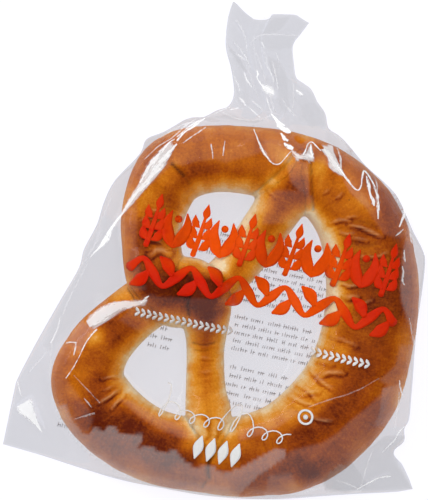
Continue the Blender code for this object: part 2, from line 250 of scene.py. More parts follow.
# The bag's outline, seen from above. The side folds run from the bottom seal to the mouth.
LEFT_FOLD = (
    (-163, -188), (-163, -168), (-163, -144), (-162, -133), (-153, -101), (-141, -63), (-133, -38),
    (-132, -22), (-126, -1), (-124, 18), (-119, 36), (-104, 60), (-101, 73), (-88, 82), (-72, 96),
    (-61, 99), (-51, 107), (-43, 112), (-41, 123), (-47, 141), (-55, 158), (-58, 180), (-57, 195),
)
RIGHT_FOLD = (
    (164, -155), (159, -147), (151, -137), (144, -132), (143, -127), (149, -119), (147, -109),
    (149, -101), (147, -85), (144, -65), (141, -46), (138, -22), (137, 2), (135, 24), (131, 33),
    (120, 46), (110, 60), (101, 71), (89, 79), (73, 88), (59, 99), (48, 107), (38, 111), (33, 122),
    (25, 130), (19, 138), (12, 142), (5, 145), (1, 155), (-3, 170), (1, 180), (6, 191),
)
BOTTOM_SEAL = (
    (-163, -188), (-132, -190), (-99, -193), (-66, -195), (-34, -194), (-1, -193), (31, -189),
    (62, -183), (93, -175), (124, -167), (151, -160), (164, -155),
)
MOUTH = (
    (-57, 195), (-53, 194), (-44, 187), (-37, 185), (-31, 186), (-24, 191), (-10, 195), (-2, 194),
    (6, 191),
)
SEAL_REACH = 0.12
MOUTH_REACH = 0.08
FILM_COLUMNS = 180
FILM_ROWS = 208
INWARD = 0.004  # share of the way to the middle
NECK = (84, 112)  # y where the film starts to gather, and where it is gathered
WHITE_TONE = 0.9
THICK_HAZE = 0.3
FILM_FLOOR = 0.05  # the lowest that the back film lies
FILM_GAP = 0.3  # between front and back, and over the crust before the last evening
CRUST_GAP = 0.1  # over the crust in the end
RIM_GAP = 0.15  # above and below the solid's rim
SIDE_MARGIN = 0.03  # inside the solid's box
TOP_MARGIN = 0.45  # the same, with room for ink and creases on the film
NO_CRUST = -100.0
EDGE = 1e-6

# Painted highlights: bright lines and patches where creased film catches the light. Strength,
# softness of the edge as a share of the half width, and points of x, y and half width in pixels.
STREAKS = (
    (0.7, 0.6, (
        (177, 144, 1), (171, 150, 2.6), (164, 159, 4.4), (157, 168, 5.4), (149, 179, 4.6),
        (141, 188, 3.6), (133, 198, 3), (126, 208, 2), (121, 216, 1.2),
    )),
    (0.75, 0.6, (
        (175, 139, 0.6), (168, 144, 1.6), (161, 152, 2.4), (152, 163, 3.8), (145, 174, 3),
        (140, 183, 1.2),
    )),
    (0.85, 0.45, ((205, 118, 0.8), (194, 126, 1.6), (184, 133, 1.3), (177, 141, 1.2))),
    (0.85, 0.5, (
        (121, 215, 1.2), (116, 222, 2.2), (111, 229, 2.4), (107, 237, 4), (103, 243, 3), (97, 250, 1.5),
        (90, 257, 0.5),
    )),
    (0.75, 0.6, ((203, 119, 0.5), (190, 126, 1.2), (177, 137, 0.7))),
    (0.6, 0.6, ((206, 127, 0.5), (196, 134, 1.1), (183, 143, 0.6))),
    (0.55, 0.7, ((196, 119, 0.5), (184, 127, 1.1), (172, 138, 1), (158, 147, 0.8), (144, 160, 0.5))),
    (0.6, 0.6, ((211, 144, 0.5), (212, 151, 1), (213, 159, 0.5))),
    (0.65, 0.6, ((225, 141, 0.5), (224, 148, 1.1), (223, 156, 0.6))),
    (0.75, 0.5, (
        (254, 129, 0.7), (258, 140, 0.9), (262, 149, 1.8), (267, 157, 1.6), (272, 163, 0.8),
        (279, 164, 0.6), (286, 157, 0.6), (292, 150, 0.5),
    )),
    (0.95, 0.3, ((271, 113, 0.7), (276, 119, 2), (281, 126, 4.2), (287, 130, 3.6), (291, 132, 1.2))),
    (0.9, 0.3, ((281, 133, 1.2), (284, 138, 2.4), (288, 141, 1.4))),
    (0.92, 0.3, ((284, 143, 1), (288, 146, 3.2), (293, 149, 2))),
    (0.5, 0.6, ((292, 151, 1.4), (297, 155, 3.8), (303, 157, 3), (309, 156, 4), (314, 158, 1.4))),
    (0.85, 0.5, (
        (303, 155, 1), (306, 149, 1.3), (308, 144, 1.1), (312, 142, 0.8), (317, 147, 0.9),
        (321, 151, 0.8),
    )),
    (0.8, 0.35, ((311, 144, 0.6), (311, 150, 1.8), (312, 157, 2.6))),
    (0.55, 0.6, ((324, 149, 2), (328, 154, 4.4), (333, 162, 4.6), (338, 170, 3), (343, 176, 0.8))),
    (0.6, 0.5, ((337, 148, 0.6), (340, 157, 1.4), (341, 168, 1))),
    (0.8, 0.5, (
        (337, 165, 0.8), (343, 174, 1.2), (349, 182, 1.4), (354, 188, 1.1), (358, 190, 0.9),
        (361, 186, 0.9), (362, 178, 1.2), (364, 171, 1.2), (368, 175, 1), (372, 182, 1.2),
        (376, 192, 1.6), (378, 203, 2.2), (378, 212, 1.6), (378, 219, 0.6),
    )),
    (0.8, 0.4, ((366, 176, 0.6), (368, 184, 2), (370, 194, 1.6), (373, 202, 2.6), (374, 206, 0.8))),
    (0.45, 0.6, ((374, 177, 0.6), (377, 186, 1), (377, 195, 0.6))),
    (0.8, 0.4, ((403, 208, 0.8), (404, 214, 2.6), (402, 220, 1.4), (399, 227, 0.8))),
    (0.6, 0.6, ((403, 229, 0.6), (399, 233, 1.2), (395, 236, 0.5))),
    (0.6, 0.6, ((409, 218, 0.5), (409, 228, 1), (410, 238, 1.4), (412, 244, 0.5))),
    (0.6, 0.7, ((404, 250, 0.8), (404, 256, 1.6), (405, 262, 0.7))),
    (0.6, 0.7, ((402, 266, 0.6), (403, 273, 1.4), (402, 280, 1.6), (404, 285, 0.6))),
    (0.55, 0.3, (
        (88, 324, 4.6), (94, 320, 6), (101, 315, 7.2), (110, 310, 7), (119, 306, 5.4),
        (129, 304.4, 3.8), (138, 303, 2.8), (147, 300, 1),
    )),
    (0.75, 0.5, ((141, 303, 1.2), (145, 299, 1.4), (149, 296, 0.7))),
    (0.75, 0.6, (
        (97, 329, 1), (92, 334, 0.9), (87, 341, 0.7), (82, 350, 0.8), (79, 357, 0.5), (75, 365, 0.8),
        (71, 371, 0.7), (66, 378, 0.4),
    )),
    (0.6, 0.6, ((66, 343, 0.9), (71, 342, 1.1), (76, 343, 1.2), (75, 350, 1.1), (74, 355, 0.6))),
    (0.26, 0.7, ((74, 375, 0.5), (81, 383, 0.9), (89, 391, 0.9), (100, 403, 0.7))),
    (0.35, 0.7, ((84, 398, 0.5), (88, 403, 1), (92, 408, 0.5))),
    (0.26, 0.7, ((74, 419, 0.6), (84, 416, 1.2), (95, 413, 1))),
    (0.75, 0.25, (
        (23, 403, 9), (25, 406.5, 10.5), (29, 412.5, 7.6), (34, 420, 4), (38, 426, 2), (42, 432, 0.5),
    )),
    (0.6, 0.6, ((18, 381, 0.5), (19, 388, 1), (22, 397, 0.5))),
    (0.55, 0.6, ((60, 318, 0.6), (57, 330, 1.3), (51, 343, 0.8))),
    (0.24, 0.7, ((29, 372, 0.5), (39, 361, 0.8), (49, 350, 0.5))),
    (0.2, 0.8, ((52, 338, 0.5), (51, 356, 0.9), (49, 378, 0.5))),
    (0.2, 0.8, ((308, 407, 0.5), (325, 401, 0.9), (345, 395, 0.9), (362, 388, 0.8), (379, 378, 0.5))),
    (0.95, 0.4, ((357, 489, 0.6), (368, 483, 1), (379, 478, 1.2), (391, 476, 0.6))),
    (0.95, 0.5, ((382, 453, 0.4), (388, 446, 0.8), (394, 440, 1), (399, 432, 1.1), (407, 425, 0.7))),
    (0.45, 0.8, ((373, 449, 0.5), (366, 468, 1), (360, 489, 0.6))),
    (0.5, 0.7, ((336, 480, 0.5), (346, 483, 1), (357, 488, 0.6))),
    (0.55, 0.6, ((303, 492, 0.6), (312, 489, 1.3), (322, 487, 0.8))),
    (0.35, 0.7, ((394, 430, 0.8), (397, 410, 1.6), (399, 392, 0.9))),
    (0.75, 0.4, ((399, 380, 0.6), (400, 388, 1.2), (402, 395, 0.5))),
    (0.35, 0.7, ((413, 345, 0.6), (411, 330, 1.2), (409, 318, 0.8))),
    (0.85, 0.4, ((257, 69, 0.6), (258, 73, 1.5), (257, 77, 0.8), (260, 82, 0.8), (264, 88, 0.7))),
    (0.6, 0.4, ((262, 84, 1), (266, 88, 3.4), (271, 91, 2.6), (274, 94, 0.8))),
    (0.7, 0.4, ((296, 90, 0.8), (299, 92, 1.8), (303, 95, 0.8))),
    (0.6, 0.6, ((239, 97, 0.6), (243, 101, 1.2), (246, 106, 0.6))),
    (0.6, 0.6, ((249, 107, 0.6), (254, 112, 1.2), (260, 117, 0.6))),
    (0.6, 0.6, ((244, 72, 0.6), (247, 80, 1.2), (252, 87, 0.7))),
    (0.55, 0.6, ((230, 109.5, 0.5), (234, 109, 1), (239, 107.5, 0.5))),
    (0.5, 0.6, ((262, 41, 0.5), (263, 44, 1.1), (264.5, 48, 0.5))),
    (0.26, 0.7, ((263, 50, 0.5), (266, 57, 1), (268, 64, 0.6))),
    (0.5, 0.6, ((267, 97, 0.6), (269, 104, 1), (272, 112, 0.7))),
    (0.45, 0.6, ((237, 54, 0.5), (241, 57, 1), (246, 60, 0.5))),
    (0.26, 0.8, ((293, 82, 0.5), (294, 95, 0.7), (293, 108, 0.5))),
    (0.4, 0.7, ((233, 75, 0.5), (238, 84, 1), (240, 92, 0.5))),
    (0.26, 0.8, ((276, 52, 0.5), (279, 62, 0.8), (278, 72, 0.5))),
    (0.22, 0.8, ((246, 62, 0.5), (252, 80, 0.9), (258, 98, 0.6))),
    (0.3, 0.8, ((236, 20, 0.5), (241, 27, 1), (246, 40, 0.7), (247, 52, 0.5))),
    (0.26, 0.8, (
        (249, 46, 0.5), (254, 39, 0.9), (262, 34.5, 0.9), (274, 34, 0.8), (286, 35, 0.7),
        (298, 35, 0.5),
    )),
    (0.3, 0.8, ((222, 112, 0.5), (236, 118, 0.9), (250, 120, 0.8), (264, 118, 0.8), (271, 115, 0.6))),
    (0.5, 0.6, ((160, 138, 0.5), (180, 126, 1), (199, 121, 0.5))),
    (0.22, 0.8, ((252, 44, 0.5), (258, 58, 0.9), (264, 74, 0.7), (270, 96, 0.6), (276, 112, 0.5))),
    (0.22, 0.8, ((330, 131, 0.6), (345, 143, 1), (362, 158, 0.8))),
    (0.35, 0.7, ((395, 193, 0.6), (404, 207, 1), (412, 226, 0.6))),
    (0.3, 0.8, ((283, 99, 0.6), (288, 108, 1.1), (296, 116, 0.7))),
    (0.35, 0.8, ((272, 60, 0.5), (276, 75, 1.2), (278, 90, 0.6))),
    (0.4, 0.7, ((265, 62, 0.5), (271, 72, 1.2), (274, 83, 0.6))),
    (0.3, 0.8, ((234, 42, 0.5), (239, 48, 1), (246, 57, 0.9), (250, 68, 0.5))),
    (0.35, 0.7, ((214, 114, 0.5), (222, 110, 1), (231, 107, 0.5))),
    (0.35, 0.7, ((252, 100, 0.5), (258, 106, 1.1), (264, 111, 0.6))),
    (0.22, 0.8, ((88, 262, 0.5), (76, 285, 1), (66, 306, 0.9), (60, 322, 0.5))),
    (0.2, 0.8, ((103, 230, 0.5), (90, 253, 1), (77, 273, 0.9), (67, 293, 0.5))),
    (0.22, 0.8, ((112, 196, 0.5), (104, 214, 1), (96, 232, 0.5))),
)

STREAK_MASKS = ("across", "strength", "softness", "along", "width")
BRUSH_ROUNDNESS = 0.6  # how far a stroke's ends bulge, as a share of its half width
INK_THICKNESS = 0.08
BACK_PRINT_HEIGHT = 0.2
ORNAMENT_PITCH = 37

# Painted reflections, glints and shade on the film: pale haze where it mirrors the bright
# surround, white glints, and grey patches for film that lies double, for steep film that mirrors
# the dark overhead, and for shaded folds. Strength, brightness, softness of the edge in pixels,
# and corners.
FILM_SHEEN_AND_SHADE = (
    (0.175, 0.95, 1, (
        (57, 405), (66, 404), (73, 420), (84, 434), (90, 433), (94, 427), (105, 431), (108, 425),
        (115, 427), (119, 433), (130, 434), (141, 434), (143, 439), (137, 448), (150, 446), (158, 451),
        (165, 452), (176, 450), (180, 456), (187, 463), (195, 467), (206, 466), (214, 466), (218, 471),
        (223, 473), (240, 468), (262, 456), (276, 448), (284, 449), (287, 456), (276, 464), (258, 476),
        (240, 492), (236, 505), (150, 505), (60, 470),
    )),
    (0.055, 1, 2.5, (
        (287, 456), (290, 451), (305, 447), (322, 443), (338, 433), (350, 421), (364, 410), (376, 399),
        (386, 390), (420, 380), (420, 430), (340, 505), (236, 505), (240, 492), (258, 476), (276, 464),
    )),
    (0.23, 0.98, 5, (
        (57, 402), (64, 418), (82, 440), (108, 457), (140, 470), (170, 477), (200, 482), (232, 484),
        (236, 505), (150, 505), (60, 470),
    )),
    (0.11, 1, 4, ((268, 474), (292, 472), (300, 488), (280, 500), (262, 496))),
    (0.12, 1, 1.2, (
        (383, 388), (398, 384), (402, 392), (402, 410), (390, 424), (374, 426), (378, 414),
    )),
    (0.03, 1, 1.4, (
        (142, 297), (150, 294), (160, 297), (186, 298), (207, 299), (226, 297), (232, 297), (234, 330),
        (140, 332), (120, 320),
    )),
    (0.035, 0.95, 2, (
        (120, 215), (150, 185), (168, 168), (172, 164), (184, 165), (196, 161), (215, 159), (226, 162),
        (232, 160), (250, 156), (262, 152), (275, 165), (292, 152), (315, 160), (330, 168), (345, 178),
        (356, 192), (366, 208), (376, 222), (384, 234), (397, 238), (430, 230), (430, 90), (110, 90),
    )),
    (0.11, 1, 1.4, (
        (404, 212), (406, 236), (403, 250), (402, 268), (400, 286), (401, 300), (405, 313), (410, 328),
        (413, 348), (440, 350), (440, 200),
    )),
    (0.03, 1, 2, (
        (128, 170), (136, 186), (137, 215), (136, 245), (140, 270), (146, 290), (110, 290), (100, 200),
    )),
    (0.06, 1, 1.5, (
        (262, 140), (276, 138), (292, 146), (300, 156), (288, 162), (275, 164), (266, 156),
    )),
    (0.06, 1, 1.6, (
        (348, 176), (356, 186), (366, 196), (372, 210), (362, 204), (350, 192), (344, 182),
    )),
    (0.055, 1, 1.5, ((287, 166), (296, 160), (308, 163), (309, 198), (300, 192), (291, 182))),
    (0.035, 1, 2, ((276, 190), (300, 192), (312, 196), (318, 222), (262, 224), (262, 205))),
    (0.09, 1, 1.2, ((82, 321), (90, 325), (95, 331), (88, 341), (80, 353), (72, 346), (70, 336))),
    (0.04, 1, 1.2, ((73, 402), (80, 399), (88, 408), (93, 419), (90, 430), (84, 434), (73, 420))),
    (0.035, 0.95, 2, (
        (45, 345), (66, 340), (80, 340), (78, 360), (66, 378), (80, 398), (74, 410), (45, 400),
    )),
    (0.05, 1, 2, ((400, 345), (413, 345), (415, 385), (392, 388), (380, 380), (396, 365))),
    (0.06, 1, 2.5, (
        (168, 419), (190, 428), (196, 440), (180, 437), (160, 428), (140, 416), (122, 400), (132, 400),
        (150, 411),
    )),
    (0.05, 1, 2, ((236, 431), (262, 424), (290, 408), (300, 412), (270, 432), (240, 440))),
    (0.016, 0.9, 2, (
        (196, 195), (250, 195), (235, 225), (222, 250), (207, 260), (182, 252), (184, 220),
    )),
    (0.016, 0.9, 2, ((150, 335), (185, 330), (186, 410), (178, 416), (135, 388), (126, 375))),
    (0.018, 0.9, 2, (
        (300, 224), (318, 235), (326, 290), (318, 340), (290, 385), (240, 417), (226, 380), (228, 320),
        (262, 270),
    )),
    (0.42, 1, 0.5, (
        (87, 320), (90, 315), (101, 307), (114, 302), (130, 301), (145, 300), (148, 299), (146, 305),
        (133, 307), (122, 311), (113, 317), (104, 323), (94, 329),
    )),
    (0.55, 1, 0.6, (
        (168, 144), (171, 142), (174, 148), (169, 158), (164, 168), (155, 178), (149, 185), (142, 193),
        (132, 205), (122, 215), (125, 207), (131, 196), (137, 186), (144, 177), (151, 165), (162, 151),
    )),
    (0.62, 1, 0.5, (
        (319, 147), (329, 145), (333, 146), (334, 152), (337, 160), (345, 176), (336, 173), (329, 168),
        (328, 158),
    )),
    (0.55, 1, 0.5, (
        (294, 151), (300, 156), (306, 153), (311, 144), (312, 148), (314, 160), (309, 162), (303, 158),
        (296, 161),
    )),
    (0.55, 1, 0.4, (
        (21, 406), (31, 399), (34, 408), (36, 418), (38, 426), (33, 423), (25, 416), (18, 413),
    )),
    (0.45, 1, 0.6, ((262, 83), (268, 84), (273, 87), (275, 92), (272, 96), (266, 93), (262, 89))),
    (0.35, 1, 0.6, ((296, 89), (300, 90), (303, 94), (301, 95), (297, 93))),
    (0.11, 0.4, 2.5, (
        (384, 182), (396, 195), (405, 211), (413, 231), (423, 250), (428, 262), (423, 290), (418, 320),
        (415, 348), (412, 330), (413, 300), (412, 262), (405, 225), (392, 203),
    )),
    (0.11, 0.4, 2.5, (
        (327, 126), (340, 134), (352, 147), (366, 164), (384, 180), (392, 203), (378, 187), (360, 169),
        (345, 154), (326, 143),
    )),
    (0.11, 0.4, 2.5, (
        (165, 130), (147, 138), (139, 153), (115, 179), (104, 201), (97, 224), (112, 222), (121, 205),
        (129, 180), (141, 160), (158, 144), (178, 132),
    )),
    (0.1, 0.4, 3, (
        (97, 222), (118, 218), (122, 250), (123, 286), (104, 297), (84, 312), (60, 336), (50, 350),
        (44, 345), (62, 300), (80, 262),
    )),
    (0.14, 0.35, 2, ((268, 56), (280, 62), (288, 78), (290, 104), (284, 116), (277, 98), (272, 78))),
    (0.1, 0.4, 2, ((226, 54), (238, 58), (246, 78), (250, 104), (240, 108), (234, 88))),
    (0.1, 0.4, 1.6, ((258, 36), (276, 35), (297, 36), (292, 48), (270, 50), (260, 46))),
    (0.12, 0.35, 1.6, ((262, 34), (272, 18), (290, 16), (284, 26), (276, 33))),
    (0.12, 0.35, 2, ((300, 104), (314, 100), (324, 112), (326, 126), (312, 128), (302, 118))),
    (0.1, 0.4, 1.6, ((200, 120), (222, 110), (240, 116), (262, 121), (240, 123))),
    (0.22, 0.3, 1, (
        (212, 117), (226, 114), (241, 118), (256, 120), (266, 117), (256, 123), (240, 121), (226, 118),
    )),
    (0.18, 0.3, 1, ((228, 44), (233, 50), (241, 60), (247, 72), (243, 70), (236, 60), (229, 50))),
    (0.18, 0.3, 1, ((268, 58), (274, 64), (278, 76), (281, 92), (277, 90), (272, 74))),
    (0.3, 0.35, 1.5, (
        (322, 481), (330, 471), (340, 464), (352, 462), (362, 474), (368, 488), (345, 492), (326, 490),
    )),
    (0.2, 0.4, 2, (
        (352, 462), (372, 445), (384, 436), (408, 438), (396, 452), (398, 465), (414, 490), (362, 492),
        (356, 472),
    )),
    (0.14, 0.9, 1.2, (
        (330, 485), (345, 480), (360, 488), (390, 476), (395, 479), (364, 492), (342, 489),
    )),
    (0.1, 0.9, 1.5, ((370, 448), (377, 446), (368, 476), (361, 487))),
    (0.1, 0.55, 2, ((285, 74), (296, 76), (298, 100), (288, 104))),
    (0.08, 0.45, 2, ((296, 84), (312, 92), (326, 118), (322, 130), (300, 120))),
    (0.06, 0.45, 2, ((232, 52), (246, 60), (250, 90), (236, 100))),
)


def smooth_curve(points, per_span):
    """A Catmull-Rom curve through points of any number of values, as one row a point."""
    knots = np.array(points, float)
    first = 2 * knots[0] - knots[1]
    last = 2 * knots[-1] - knots[-2]
    padded = np.vstack([first, knots, last])
    rows = []
    for i in range(1, len(padded) - 2):
        before, start, end, after = padded[i - 1 : i + 3]
        for step in range(per_span):
            t = step / per_span
            rows.append(
                start
                + 0.5 * t * (end - before)
                + t * t * (before - 2.5 * start + 2 * end - 0.5 * after)
                + t * t * t * (1.5 * (start - end) + 0.5 * (after - before))
            )
    rows.append(knots[-1])
    return np.array(rows)


def smoothstep(low, high, value):
    t = np.clip((value - low) / (high - low), 0.0, 1.0)
    return t * t * (3 - 2 * t)


def triangle_wave(phase):
    """A wave of straight slopes, from -1 to 1, which creases film as folding does."""
    return np.arcsin(np.sin(phase)) * 2 / math.pi


def lumps(x, y, z, size, seed):
    """Smooth noise from about -1 to 1, with lumps of this size in mm."""
    places = zip(x / size, y / size, z / size + seed)
    return np.array([noise.fractal(Vector(p), 1.0, 2.0, 2) for p in places])


def bell(away, reach):
    """1 where away is 0, falling off smoothly to nearly 0 at twice the reach."""
    return np.exp(-((away / reach) ** 2))


def line_through(points):
    """A smooth line through three points or more, or a straight one through two."""
    return smooth_curve(points, 5) if len(points) > 2 else np.array(points, float)


def distance_to_line(x, y, points):
    """Distance in plan from every x, y to the line through the points."""
    line = line_through(points)
    nearest = np.full_like(x, np.inf)
    for (ax, ay), (bx, by) in zip(line[:-1], line[1:]):
        dx, dy = bx - ax, by - ay
        share = np.clip(((x - ax) * dx + (y - ay) * dy) / (dx * dx + dy * dy), 0, 1)
        nearest = np.minimum(nearest, np.hypot(x - ax - share * dx, y - ay - share * dy))
    return nearest


def signed_distance(x, y, points):
    """Distance from every x, y to a line, above 0 on its lower right and below 0 on its upper
    left."""
    line = line_through(points)
    middle_x, middle_y = line[len(line) // 2]
    dx, dy = line[-1] - line[0]
    across = dy * (x - middle_x) - dx * (y - middle_y)
    way = 1 if dx + dy > 0 else -1
    return distance_to_line(x, y, points) * np.sign(across) * way


def headings(line):
    """The way that a line runs in plan at each of its points, as unit steps."""
    heading = np.gradient(line[:, :2], axis=0)
    return heading / np.maximum(np.linalg.norm(heading, axis=1), 1e-9)[:, None]


def lengths_along(line):
    """How far along a line, in plan, each of its points lies."""
    steps = np.hypot(*np.diff(line[:, :2], axis=0).T)
    return np.concatenate([[0], np.cumsum(steps)])


def vectors_of(data, name):
    flat = np.empty(len(data.vertices) * 3)
    data.vertices.foreach_get(name, flat)
    return flat.reshape(-1, 3)


def points_of(data):
    """A mesh's points in mm, one row each."""
    return vectors_of(data, "co") / MM


def put_points(data, points):
    data.vertices.foreach_set("co", (points * MM).ravel())
    data.update()


def normals_of(data):
    return vectors_of(data, "normal")


def store_mask(data, name, values):
    layer = data.attributes.new(name, "FLOAT", "POINT")
    layer.data.foreach_set("value", np.asarray(values, np.float32))


def object_from(mesh, name, materials):
    """An object from a bmesh, which is then freed."""
    data = bpy.data.meshes.new(name)
    mesh.to_mesh(data)
    mesh.free()
    for material in materials:
        data.materials.append(material)
    made = bpy.data.objects.new(name, data)
    bpy.context.scene.collection.objects.link(made)
    return made


def piece_from(mesh, name, materials):
    """A piece of the pack from a bmesh. It rides on the one body."""
    piece = object_from(mesh, name, materials)
    piece.data.shade_smooth()
    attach(piece, "root")
    return piece


def bake_modifiers(piece):
    """Makes the modified mesh the piece's own."""
    graph = bpy.context.evaluated_depsgraph_get()
    made = bpy.data.meshes.new_from_object(piece.evaluated_get(graph))
    old = piece.data
    piece.modifiers.clear()
    piece.data = made
    made.name = old.name
    bpy.data.meshes.remove(old)


# Node helpers


class Wiring:
    """Places nodes in a material or a node group and links them."""

    def __init__(self, tree):
        self.tree = tree

    def node(self, kind, settings=None, **inputs):
        made = self.tree.nodes.new(kind)
        for name, value in (settings or {}).items():
            setattr(made, name, value)
        self.fill(made, **inputs)
        return made

    def fill(self, node, **inputs):
        """Links or sets a node's inputs by name, with _ for each space in a name."""
        for name, value in inputs.items():
            self.feed(node, name.replace("_", " "), value)

    def feed(self, node, name, value):
        socket = node.inputs[int(name)] if name.isdigit() else node.inputs[name]
        if isinstance(value, bpy.types.NodeSocket):
            self.tree.links.new(value, socket)
        else:
            socket.default_value = value

    def math(self, operation, first, second=0.0, clamp=False):
        made = self.node("ShaderNodeMath", {"operation": operation, "use_clamp": clamp})
        self.feed(made, "0", first)
        self.feed(made, "1", second)
        return made.outputs[0]

    add = functools.partialmethod(math, "ADD")
    less = functools.partialmethod(math, "SUBTRACT")
    times = functools.partialmethod(math, "MULTIPLY")
    over = functools.partialmethod(math, "DIVIDE")

    def between(self, value, low, high):
        """0 below low, 1 above high, smooth between."""
        made = self.node("ShaderNodeMapRange", {"interpolation_type": "SMOOTHSTEP"}, Value=value)
        self.fill(made, From_Min=low, From_Max=high)
        return made.outputs["Result"]

    def mix(self, share, first, second):
        made = self.node("ShaderNodeMix", {"data_type": "RGBA"})
        self.feed(made, "0", share)
        self.feed(made, "6", first)
        self.feed(made, "7", second)
        return made.outputs[2]

    def mask(self, name):
        return self.node("ShaderNodeAttribute", {"attribute_name": name}).outputs["Fac"]

    def place(self):
        return self.node("ShaderNodeTexCoord").outputs["Object"]

    def noise(self, place, scale, detail, roughness=0.5):
        """Noise from 0 to 1, mostly near the middle."""
        inputs = {"Vector": place, "Scale": scale, "Detail": detail, "Roughness": roughness}
        return self.node("ShaderNodeTexNoise", **inputs).outputs["Fac"]

    def swing(self, value, amount, middle=0.5):
        """How far the value is off its middle, times the amount."""
        return self.times(self.less(value, middle), amount)

    def point(self, x, y, z=0.0):
        return self.node("ShaderNodeCombineXYZ", X=x, Y=y, Z=z).outputs[0]

    def bump(self, shader, height, strength, distance):
        made = self.node("ShaderNodeBump", Height=height, Strength=strength, Distance=distance)
        self.feed(shader, "Normal", made.outputs["Normal"])


def new_material(name):
    """A material with a bare Principled shader: its wiring and that shader."""
    material = bpy.data.materials.new(name)
    material.use_nodes = True
    return material, Wiring(material.node_tree), material.node_tree.nodes["Principled BSDF"]


# The kringle


def rope_curve():
    """x, y, half width, underside and height along the rope."""
    curve = smooth_curve(ROPE, ROPE_POINTS_PER_SPAN)
    height = ROPE_FLAT_HEIGHT + ROPE_HEIGHT_RATIO * curve[:, 2]
    return np.column_stack([curve, height])


def section_offset(turn, half_width, height):
    """Sideways and upward offset of a point of the rope's round-topped, flat-footed section."""
    side, lift = math.cos(turn), math.sin(turn)
    across = half_width * math.copysign(abs(side) ** ROPE_SIDE_POWER, side)
    if lift >= 0:
        up = ROPE_WAIST + (1 - ROPE_WAIST) * lift
    else:
        up = ROPE_WAIST * (1 - abs(lift) ** ROPE_FOOT_POWER)
    return across, up * height


def rope_mesh():
    """The rope as one tube, drawn section by section. It passes through itself at its knot."""
    mesh = bmesh.new()
    turn_of = mesh.verts.layers.float.new("turn")
    made = bmesh.ops.create_circle(mesh, cap_ends=True, segments=ROPE_SIDES, radius=1.0)
    for vertex in made["verts"]:
        vertex[turn_of] = math.atan2(vertex.co.y, vertex.co.x)
    section = made["verts"]
    curve = rope_curve()
    heading = headings(curve)
    for station, (x, y, half_width, base, height) in enumerate(curve):
        if station:
            rim = {edge for vertex in section for edge in vertex.link_edges}
            rim = [edge for edge in rim if all(v in set(section) for v in edge.verts)]
            grown = bmesh.ops.extrude_edge_only(mesh, edges=rim)
            section = [item for item in grown["geom"] if isinstance(item, bmesh.types.BMVert)]
        right = (heading[station][1], -heading[station][0])
        for vertex in section:
            across, up = section_offset(vertex[turn_of], half_width, height)
            vertex.co = (
                (x + across * right[0]) * MM,
                (y + across * right[1]) * MM,
                (LOAF_LIFT + LOAF_SQUEEZE * (base + up)) * MM,
            )
    rim = [edge for edge in mesh.edges if edge.is_boundary]
    bmesh.ops.edgeloop_fill(mesh, edges=rim)
    bmesh.ops.recalc_face_normals(mesh, faces=mesh.faces)
    return mesh


def knead(data, rounds):
    """Rounds the steps and the sharp valleys of the remeshed dough."""
    mesh = bmesh.new()
    mesh.from_mesh(data)
    for _ in range(rounds):
        axes = {"use_axis_x": True, "use_axis_y": True, "use_axis_z": True}
        bmesh.ops.smooth_vert(mesh, verts=mesh.verts, factor=0.5, **axes)
    mesh.to_mesh(data)
    mesh.free()


def hollows(data):
    """How deep each point lies in a valley, in mm, or how high on a ridge, below 0."""
    edges = np.empty(len(data.edges) * 2, int)
    data.edges.foreach_get("vertices", edges)
    one, other = edges.reshape(-1, 2).T
    count = np.bincount(np.concatenate([one, other]), minlength=len(data.vertices))
    points = points_of(data)
    relaxed = points.copy()
    for _ in range(HOLLOW_ROUNDS):
        total = np.zeros_like(relaxed)
        np.add.at(total, one, relaxed[other])
        np.add.at(total, other, relaxed[one])
        relaxed = total / count[:, None]
    return np.einsum("ij,ij->i", relaxed - points, normals_of(data))


def score_crust(points, normals):
    """For every point of the crust: how deep it is pressed in, the painted shade at the bottom of its
    cracks, the painted shade below its puckers, and the painted highlight on their crests."""
    x, y, z = points.T
    wander = 0.9 * lumps(x, y, z, 9, 3.0)
    depth, dark, shade, gleam = np.zeros((4, len(points)))
    for pixels, deep, half_width, darkness in CRACKS:
        away = distance_to_line(x, y, traced(pixels, CRUST_DEPTH)) + 0.3 * wander
        depth += deep * bell(away, half_width)
        dark = np.maximum(dark, darkness * bell(away, 0.9 * half_width))
    bent_x, bent_y = x + 0.8 * wander, y + 0.8 * lumps(x, y, z, 6, 13.0)
    for pixels, height, half_width in RIDGES:
        line = traced(pixels, CRUST_DEPTH)
        below = signed_distance(bent_x, bent_y, line)
        crest = bell(below, half_width)
        hollow = bell(below - 1.5 * half_width, 0.7 * half_width)
        lit = bell(below + 0.2 * half_width, 0.6 * half_width)
        from_ends = [np.hypot(bent_x - line[end][0], bent_y - line[end][1]) for end in (0, -1)]
        height = height * (0.25 + 0.75 * smoothstep(0, 5, np.minimum(*from_ends)))
        depth += height * (0.9 * hollow - crest)
        shade += height * (0.34 * hollow - 0.06 * crest)
        gleam = np.maximum(gleam, height * lit)
    facing = smoothstep(0.1, 0.6, normals[:, 2])
    return depth * facing, dark * facing, shade * facing, gleam * facing


def loaf_plan():
    """A map of the loaf seen from above: the points in its holes, and those past its rim."""
    left, right, front, back = LOAF_MAP
    columns, rows = np.arange(left, right, MAP_STEP), np.arange(front, back, MAP_STEP)
    x, y = np.meshgrid(columns, rows, indexing="ij")
    bread = np.zeros(x.shape, bool)
    for px, py, half_width, _, _ in rope_curve():
        bread |= np.hypot(x - px, y - py) < half_width
    outside = np.zeros(x.shape, bool)
    outside[0, :] = outside[:, 0] = outside[-1, :] = outside[:, -1] = True
    filled = 0
    while filled != outside.sum():
        filled = outside.sum()
        grown = outside.copy()
        grown[1:] |= outside[:-1]
        grown[:-1] |= outside[1:]
        grown[:, 1:] |= outside[:, :-1]
        grown[:, :-1] |= outside[:, 1:]
        outside = grown & ~bread
    holes = ~bread & ~outside
    return [np.column_stack([x[region], y[region]]) for region in (holes, outside)]


